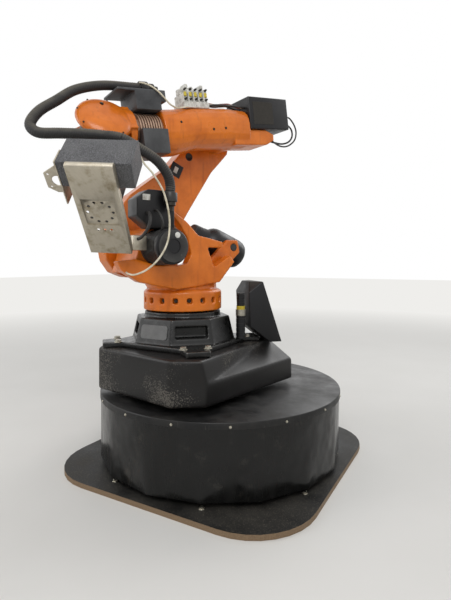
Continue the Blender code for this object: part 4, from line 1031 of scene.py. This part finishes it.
for radius, count, spot in (
    (EAR_HOLE_RADIUS, 40, EAR_HOLE), (EAR_SMALL_RADIUS, 20, (-0.112, 0.075)),
    (EAR_SMALL_RADIUS, 20, (-0.112, 0.165)), (EAR_SMALL_RADIUS, 20, (-0.02, 0.06)),
):
    lathe(hole_shape, [(radius, EAR_THICK[0] - 0.01), (radius, EAR_THICK[1] + 0.01)], "X", count, spot)
cut_out(ear, close_mesh("ear_cutter", hole_shape, bare_aluminium, tool_row))
edge = ear.modifiers.new("edge", "BEVEL")
edge.width = EAR_EDGE
edge.segments = 2
settle(ear)
ear.data.shade_smooth()
ear.data.set_sharp_from_angle(angle=SHARP_EDGE)

# Hose clamps: the two black cast sleeves that hold the dress hose, one on the collar's bracket and one
# on the junction housing
machined("upper_clamp_sleeve", "upper_hose_clamp", motor_black, 0.0015, 2)
machined("lower_clamp_sleeve", "lower_hose_clamp", motor_black, 0.0015, 2)

# Dress hose: the corrugated rubber conduit that carries the tool's leads round the wrist, dusty
# black with ribs every 14 mm, made lighter on its upper side with dust and a painted sheen. It is
# held by both clamps and runs on into a gland at either end.
hose_rubber = finish("dusty_corrugated_rubber_painted_sheen", "#262523", 0.66)
tree = hose_rubber.node_tree
place = add(tree, "TexCoord").outputs["Object"]
dust = add(tree, "TexNoise", {"Vector": place, "Scale": 9, "Detail": 7, "Roughness": 0.65}).outputs[0]
upward = add(tree, "SeparateXYZ", {0: add(tree, "NewGeometry").outputs["Normal"]})
# Dust and painted sheen: the hose is made lighter towards its upper side
dust_and_sheen_lift = add(tree, "MapRange", {0: upward.outputs[2], 1: -0.4, 2: 1.0, 4: 0.85}).outputs[0]
upper_face_share = add(tree, "Math", {0: dust, 1: dust_and_sheen_lift}, operation="MULTIPLY").outputs[0]
upper_face_map = add(tree, "MapRange", {0: upper_face_share, 1: 0.12, 2: 0.6}).outputs[0]
hose_tone = add(tree, "Mix", {0: upper_face_map, 6: "#1F1E1E", 7: "#736D60"}, data_type="RGBA").outputs[2]
to_shader(tree, hose_tone)

HOSE_POINTS = [
    (0.2806, 0, 2.9097), (0.3202, 0, 2.9041), (0.3895, 0, 2.8944), (0.449, 0, 2.886),
    (0.663, -0.005, 2.852), (0.856, 0.012, 2.773), (0.996, 0.036, 2.66), (1.096, 0.05, 2.577),
    (1.156, 0.07, 2.495), (1.165, 0.1, 2.438), (1.125, 0.154, 2.398), (1.021, 0.227, 2.395),
    (0.89, 0.294, 2.396), (0.786, 0.331, 2.395), (0.673, 0.385, 2.381), (0.554, 0.432, 2.314),
    (0.454, 0.46, 2.249), (0.38, 0.458, 2.17), (0.35, 0.4431, 2.1), (0.35, 0.4431, 2.06),
    (0.35, 0.4431, 1.975),
]
HOSE_RADIUS = 0.035
HOSE_PARTING = 14
RIB_PITCH = 0.014
RIB_DEPTH = 0.0028
STEPS_A_RIB = 4
HOSE_STEPS = 24


def eased(points, steps):
    """A smooth curve through a cord's points."""
    line = []
    count = len(points)
    for index in range(count - 1):
        before, start = Vector(points[max(index - 1, 0)]), Vector(points[index])
        end, after = Vector(points[index + 1]), Vector(points[min(index + 2, count - 1)])
        for step in range(steps):
            t = step / steps
            bend = 2 * start + (end - before) * t + (2 * before - 5 * start + 4 * end - after) * t * t
            line.append((bend + (3 * start - before - 3 * end + after) * t**3) / 2)
    line.append(Vector(points[-1]))
    return line


def evenly(line, pitch):
    """Points along a line at an even pitch, with its last point."""
    made = [line[0]]
    left = pitch
    for start, end in zip(line, line[1:]):
        run = (end - start).length
        while run >= left:
            start = start.lerp(end, left / run)
            run -= left
            made.append(start)
            left = pitch
        left -= run
    if (line[-1] - made[-1]).length > pitch / 3:
        made.append(line[-1])
    return made


def ribbed_tube(name, line, material, sides=22):
    """A corrugated tube along points in the row frame."""
    shape = bmesh.new()
    across = (line[1] - line[0]).orthogonal().normalized()
    rings = []
    for index, point in enumerate(line):
        ahead = (line[min(index + 1, len(line) - 1)] - line[max(index - 1, 0)]).normalized()
        across = (across - ahead * across.dot(ahead)).normalized()
        other = ahead.cross(across)
        wave = (1 - math.cos(math.tau * index / STEPS_A_RIB)) / 2
        radius = HOSE_RADIUS - RIB_DEPTH * wave
        ring = []
        for side in range(sides):
            angle = math.tau * side / sides
            ring.append(point + (across * math.cos(angle) + other * math.sin(angle)) * radius)
        rings.append(ring)
    skin(shape, rings)
    return close_mesh(name, shape, material, WORLD_ROW, 60)


hose_row = [hinge_row @ Vector(point) for point in HOSE_POINTS]
whole_hose = eased(hose_row, HOSE_STEPS)
cut_index = HOSE_PARTING * HOSE_STEPS
upper_line = evenly(whole_hose[: cut_index + 1], RIB_PITCH / STEPS_A_RIB)
lower_line = evenly(whole_hose[cut_index:], RIB_PITCH / STEPS_A_RIB)
upper_hose = bpy.data.objects.new("upper_hose", ribbed_tube("upper_hose", upper_line, hose_rubber))
lower_hose = bpy.data.objects.new("lower_hose", ribbed_tube("lower_hose", lower_line, hose_rubber))
for hose in (upper_hose, lower_hose):
    bpy.context.scene.collection.objects.link(hose)
    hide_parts("dress_hose")
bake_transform(upper_hose)
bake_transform(lower_hose)

# Hose glands: the turned steel couplings that close the hose's two ends and hold the leads in it, with
# a black oxide finish
gland_profile = [
    (0.012, -0.05), (0.02, -0.05), (0.022, -0.02), (0.034, -0.016),
    (0.0375, -0.012), (0.0375, 0.016), (0.0345, 0.02),
]
for gland_name, gland_end, gland_next, gland_body in (
    ("upper_hose_gland", hose_row[0], hose_row[1], "arm"),
    ("lower_hose_gland", hose_row[-1], hose_row[-2], "column"),
):
    shape = bmesh.new()
    lathe(shape, gland_profile, "Z", 32)
    gland_turn = (gland_next - gland_end).to_track_quat("Z", "Y").to_matrix().to_4x4()
    gland_row = Matrix.Translation(gland_end) @ gland_turn
    put(gland_name, shape, black_oxide, gland_row, gland_body, slot="motor_black")

# Column lead: a cream PVC lead that leaves the dress hose, hangs in a wide bow beside the column and
# goes into its cheek
cream_jacket = finish("soiled_cream_pvc_jacket", "#D9D0B8", 0.5)
tree = cream_jacket.node_tree
place = add(tree, "TexCoord").outputs["Object"]
soil = add(tree, "TexNoise", {"Vector": place, "Scale": 18, "Detail": 7, "Roughness": 0.65}).outputs[0]
soil_share = add(tree, "MapRange", {0: soil, 1: 0.42, 2: 0.72}).outputs[0]
jacket_tone = add(tree, "Mix", {0: soil_share, 6: "#E0D8C2", 7: "#A99C7E"}, data_type="RGBA").outputs[2]
to_shader(tree, jacket_tone)

# Matt black polyurethane: the jacket of the black leads
black_jacket = finish("matt_black_polyurethane_jacket", "#1A1A1B", 0.55)
tree = black_jacket.node_tree
place = add(tree, "TexCoord").outputs["Object"]
soil = add(tree, "TexNoise", {"Vector": place, "Scale": 35, "Detail": 6}).outputs[0]
black_tone = add(tree, "Mix", {0: soil, 6: "#101011", 7: "#3A3835"}, data_type="RGBA").outputs[2]
to_shader(tree, black_tone)

CABLE_RADIUS = 0.0065
LEAD_STEPS = 8
COLUMN_LEAD_POINTS = [
    (0.568, 0.4375, 2.2764), (0.545, 0.455, 2.22), (0.495, 0.478, 2.157), (0.436, 0.505, 2.049),
    (0.405, 0.52, 1.924), (0.40, 0.53, 1.812), (0.42, 0.53, 1.698), (0.47, 0.51, 1.6),
    (0.53, 0.46, 1.53), (0.58, 0.39, 1.497), (0.6, 0.33, 1.5), (0.6, 0.2868, 1.51),
]


def lead(name, points, row, body, material, radius):
    """A round lead on a smooth curve through its points, with both ends on the robot."""
    line = eased([row @ Vector(point) for point in points], LEAD_STEPS)
    curve = bpy.data.curves.new(name, "CURVE")
    curve.dimensions = "3D"
    curve.bevel_depth = radius
    curve.bevel_resolution = 3
    curve.use_fill_caps = True
    spline = curve.splines.new("POLY")
    spline.points.add(len(line) - 1)
    for point, place in zip(spline.points, line):
        point.co = (*place, 1)
    curve.materials.append(material)
    made = bpy.data.objects.new(name, curve)
    bpy.context.scene.collection.objects.link(made)
    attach(made, body)
    return made


lead("column_lead", COLUMN_LEAD_POINTS, hinge_row, "column", cream_jacket, CABLE_RADIUS)

# Arm lead: the second cream lead, from the upper hose clamp over the bracket's edge and along the
# top of the arm to the valve group
ARM_LEAD_POINTS = [
    (0.765, 0.03, 0.365), (0.745, 0.085, 0.34), (0.715, 0.13, 0.305), (0.675, 0.152, 0.262),
    (0.635, 0.158, 0.215), (0.59, 0.15, 0.178), (0.53, 0.135, 0.163), (0.47, 0.12, 0.172),
    (0.43, 0.104, 0.182), (0.40, 0.082, 0.187),
]
lead("arm_lead", ARM_LEAD_POINTS, arm_row, "arm", cream_jacket, CABLE_RADIUS)

# Tool leads on the arm: three black leads, a dark red and a cream one, which lie along the top of the
# arm from the valve group to the wrist motors
red_jacket = finish("dark_red_pvc_jacket", "#8C2F32", 0.48)
tree = red_jacket.node_tree
place = add(tree, "TexCoord").outputs["Object"]
soil = add(tree, "TexNoise", {"Vector": place, "Scale": 40, "Detail": 6}).outputs[0]
red_tone = add(tree, "Mix", {0: soil, 6: "#A23A3C", 7: "#5E2224"}, data_type="RGBA").outputs[2]
to_shader(tree, red_tone)

ARM_TOP_LEADS = [
    ("arm_lead_black_a", black_jacket, 0.008, -0.055, 0.020),
    ("arm_lead_black_b", black_jacket, 0.007, -0.02, 0.034),
    ("arm_lead_red", red_jacket, 0.005, 0.012, 0.044),
    ("arm_lead_cream", cream_jacket, 0.006, 0.05, 0.026),
    ("arm_lead_black_c", black_jacket, 0.009, 0.085, 0.012),
]
ARM_TOP = 0.205
TOP_ROUTE = [
    (0.24, 0.6, 0), (0.2, 0.8, 0.6), (0.15, 1, 1), (0.08, 1.2, 0.9),
    (0.01, 1.1, 1.1), (-0.06, 1, 1.2), (-0.115, 1.1, 0.8), (-0.157, 1.1, 0.5),
]
for lead_name, material, radius, across, rise in ARM_TOP_LEADS:
    points = [(x, across * wide, ARM_TOP + rise * high) for x, wide, high in TOP_ROUTE]
    lead(lead_name, points, arm_row, "arm", material, radius)

# Valve group: a white plastic manifold with a row of valves, yellow hand levers and push-in
# fittings, screwed to the top of the arm
white_plastic = finish("soiled_white_moulded_plastic", "#D2D0C8", 0.45)
tree = white_plastic.node_tree
place = add(tree, "TexCoord").outputs["Object"]
soil = add(tree, "TexNoise", {"Vector": place, "Scale": 26, "Detail": 7, "Roughness": 0.65}).outputs[0]
soil_share = add(tree, "MapRange", {0: soil, 1: 0.45, 2: 0.7}).outputs[0]
white_tone = add(tree, "Mix", {0: soil_share, 6: "#DAD9D2", 7: "#97938A"}, data_type="RGBA").outputs[2]
to_shader(tree, white_tone)

VALVE_REAR = 0.19
VALVE_LONG = 0.24
VALVE_LOW = 0.187
VALVE_HIGH = 0.39
VALVES = 5
FITTING = [(0.009, 0.066), (0.009, 0.082), (0.0075, 0.084), (0.0075, 0.094), (0.004, 0.095)]


def block(shape, low, high, edge):
    """Adds a box with chamfered edges."""
    corners = []
    for x_end in (0, 1):
        for y_end in (0, 1):
            for z_end in (0, 1):
                corner = Vector([(low, high)[end][axis] for axis, end in enumerate((x_end, y_end, z_end))])
                inward = [edge * (1 - 2 * end) for end in (x_end, y_end, z_end)]
                for kept in range(3):
                    step = Vector([0 if axis == kept else inward[axis] for axis in range(3)])
                    corners.append(shape.verts.new(corner + step))
    bmesh.ops.convex_hull(shape, input=corners)


white_shape = bmesh.new()
yellow_shape = bmesh.new()
fitting_shape = bmesh.new()
block(white_shape, (VALVE_REAR, -0.085, VALVE_LOW), (VALVE_REAR + VALVE_LONG, 0.085, VALVE_LOW + 0.05), 0.005)
valve_pitch = VALVE_LONG / VALVES
for index in range(VALVES):
    start = VALVE_REAR + valve_pitch * (index + 0.12)
    rise = VALVE_HIGH - 0.018 * ((index * 2) % 3)
    body_end = start + valve_pitch * 0.74
    block(white_shape, (start, -0.07, VALVE_LOW + 0.048), (body_end, 0.07, rise - 0.05), 0.004)
    block(white_shape, (start + 0.004, -0.045, rise - 0.052), (start + valve_pitch * 0.68, 0.03, rise), 0.006)
    lever_end = start + valve_pitch * 0.6
    lever_low = (start + 0.006, 0.0695, VALVE_LOW + 0.09)
    block(yellow_shape, lever_low, (lever_end, 0.08, VALVE_LOW + 0.125), 0.003)
    middle = start + valve_pitch * 0.37
    for level in (VALVE_LOW + 0.07, VALVE_LOW + 0.145):
        lathe(fitting_shape, FITTING, "Y", 20, (middle, level))
put("valve_bodies", white_shape, white_plastic, arm_row, "arm")
put("valve_levers", yellow_shape, yellow_band, arm_row, "arm")
put("valve_fittings", fitting_shape, black_oxide, arm_row, "arm", slot="motor_black")

# Motor leads: two leads in black polyurethane that loop out behind the wrist motors and go in again
# under the arm's tail
REAR_LEADS = [
    ("motor_lead_a", 0.008, [
        (-0.5990, 0.10, 0.08), (-0.64, 0.105, 0.072), (-0.675, 0.11, 0.03), (-0.672, 0.11, -0.03),
        (-0.63, 0.10, -0.075), (-0.56, 0.085, -0.09), (-0.49, 0.065, -0.075), (-0.425, 0.05, -0.055),
    ]),
    ("motor_lead_b", 0.007, [
        (-0.5990, 0.13, 0.14), (-0.64, 0.135, 0.13), (-0.685, 0.14, 0.07), (-0.70, 0.14, 0.0),
        (-0.675, 0.13, -0.07), (-0.60, 0.11, -0.115), (-0.52, 0.085, -0.105), (-0.425, 0.07, -0.035),
    ]),
]
for lead_name, radius, points in REAR_LEADS:
    lead(lead_name, points, arm_row, "arm", black_jacket, radius)

# Junction leads: two leads in black polyurethane, in short bows from the junction housing down to the
# motor and its plug block
JUNCTION_LEADS = [
    ("junction_lead_a", 0.011, [
        (0.50, 0.3945, 1.91), (0.50, 0.43, 1.905), (0.505, 0.46, 1.87), (0.515, 0.465, 1.82),
        (0.53, 0.44, 1.775), (0.54, 0.40, 1.745), (0.54, 0.345, 1.735),
    ]),
    ("junction_lead_b", 0.009, [
        (0.44, 0.3945, 1.93), (0.44, 0.425, 1.925), (0.435, 0.455, 1.90), (0.425, 0.47, 1.86),
        (0.415, 0.46, 1.825), (0.41, 0.44, 1.80),
    ]),
]
for lead_name, radius, points in JUNCTION_LEADS:
    lead(lead_name, points, hinge_row, "column", black_jacket, radius)

# Bare plates and plugs: the blank white plates on the motor and the junction housing, the blank black
# badge with its light field, a dark disc painted as the shade in the link arm's bore, and the arm's dark
# plugs and plate
shape = bmesh.new()
block(shape, (0.475, 0.3935, 1.995), (0.53, 0.3955, 2.035), 0.0006)
lathe(shape, [(0.02, 0.4975), (0.02, 0.4987), (0.0195, 0.499)], "Y", 32, (0.322, 1.762))
put("blank_plates", shape, white_plastic, hinge_row, "column")
shape = bmesh.new()
BADGE_TURN = Matrix.Translation((0.106, -0.185, 0.768)) @ Matrix.Rotation(math.radians(14), 4, "Y")
block(shape, (-0.055, -0.001, -0.055), (0.055, 0.0018, 0.055), 0.0006)
put("link_badge", shape, moulded_black, link_row @ BADGE_TURN, "link", slot="motor_black")
shape = bmesh.new()
block(shape, (-0.016, 0.001, -0.028), (0.02, 0.0028, 0.026), 0.0004)
put("link_badge_field", shape, white_plastic, link_row @ BADGE_TURN, "link")
shape = bmesh.new()
# Painted shade: a dark disc on the link arm stands for the shade in its bore
bore_profile = [
    (0.034, -0.186), (0.034, -0.1835), (0.03, -0.1815), (0.026, -0.1835), (0.024, -0.1845), (0.004, -0.1845),
]
lathe(shape, bore_profile, "Y", 40, (0.084, 0.945))
put("link_bore_shade_disc", shape, black_oxide, link_row, "link", slot="motor_black")
shape = bmesh.new()
ARM_PLUG_SIZE = 0.0105
for spot in ((0.225, 0.1565, 0.006), (0.106, 0.1585, 0.017), (0.52, 0.157, 0.05)):
    bolt(shape, spot, (0, 0.98, -0.2), ARM_PLUG_SIZE)
block(shape, (-0.42, 0.1595, 0.06), (-0.2, 0.1625, 0.25), 0.001)
put("arm_plugs", shape, black_oxide, arm_row, "arm", slot="motor_black")
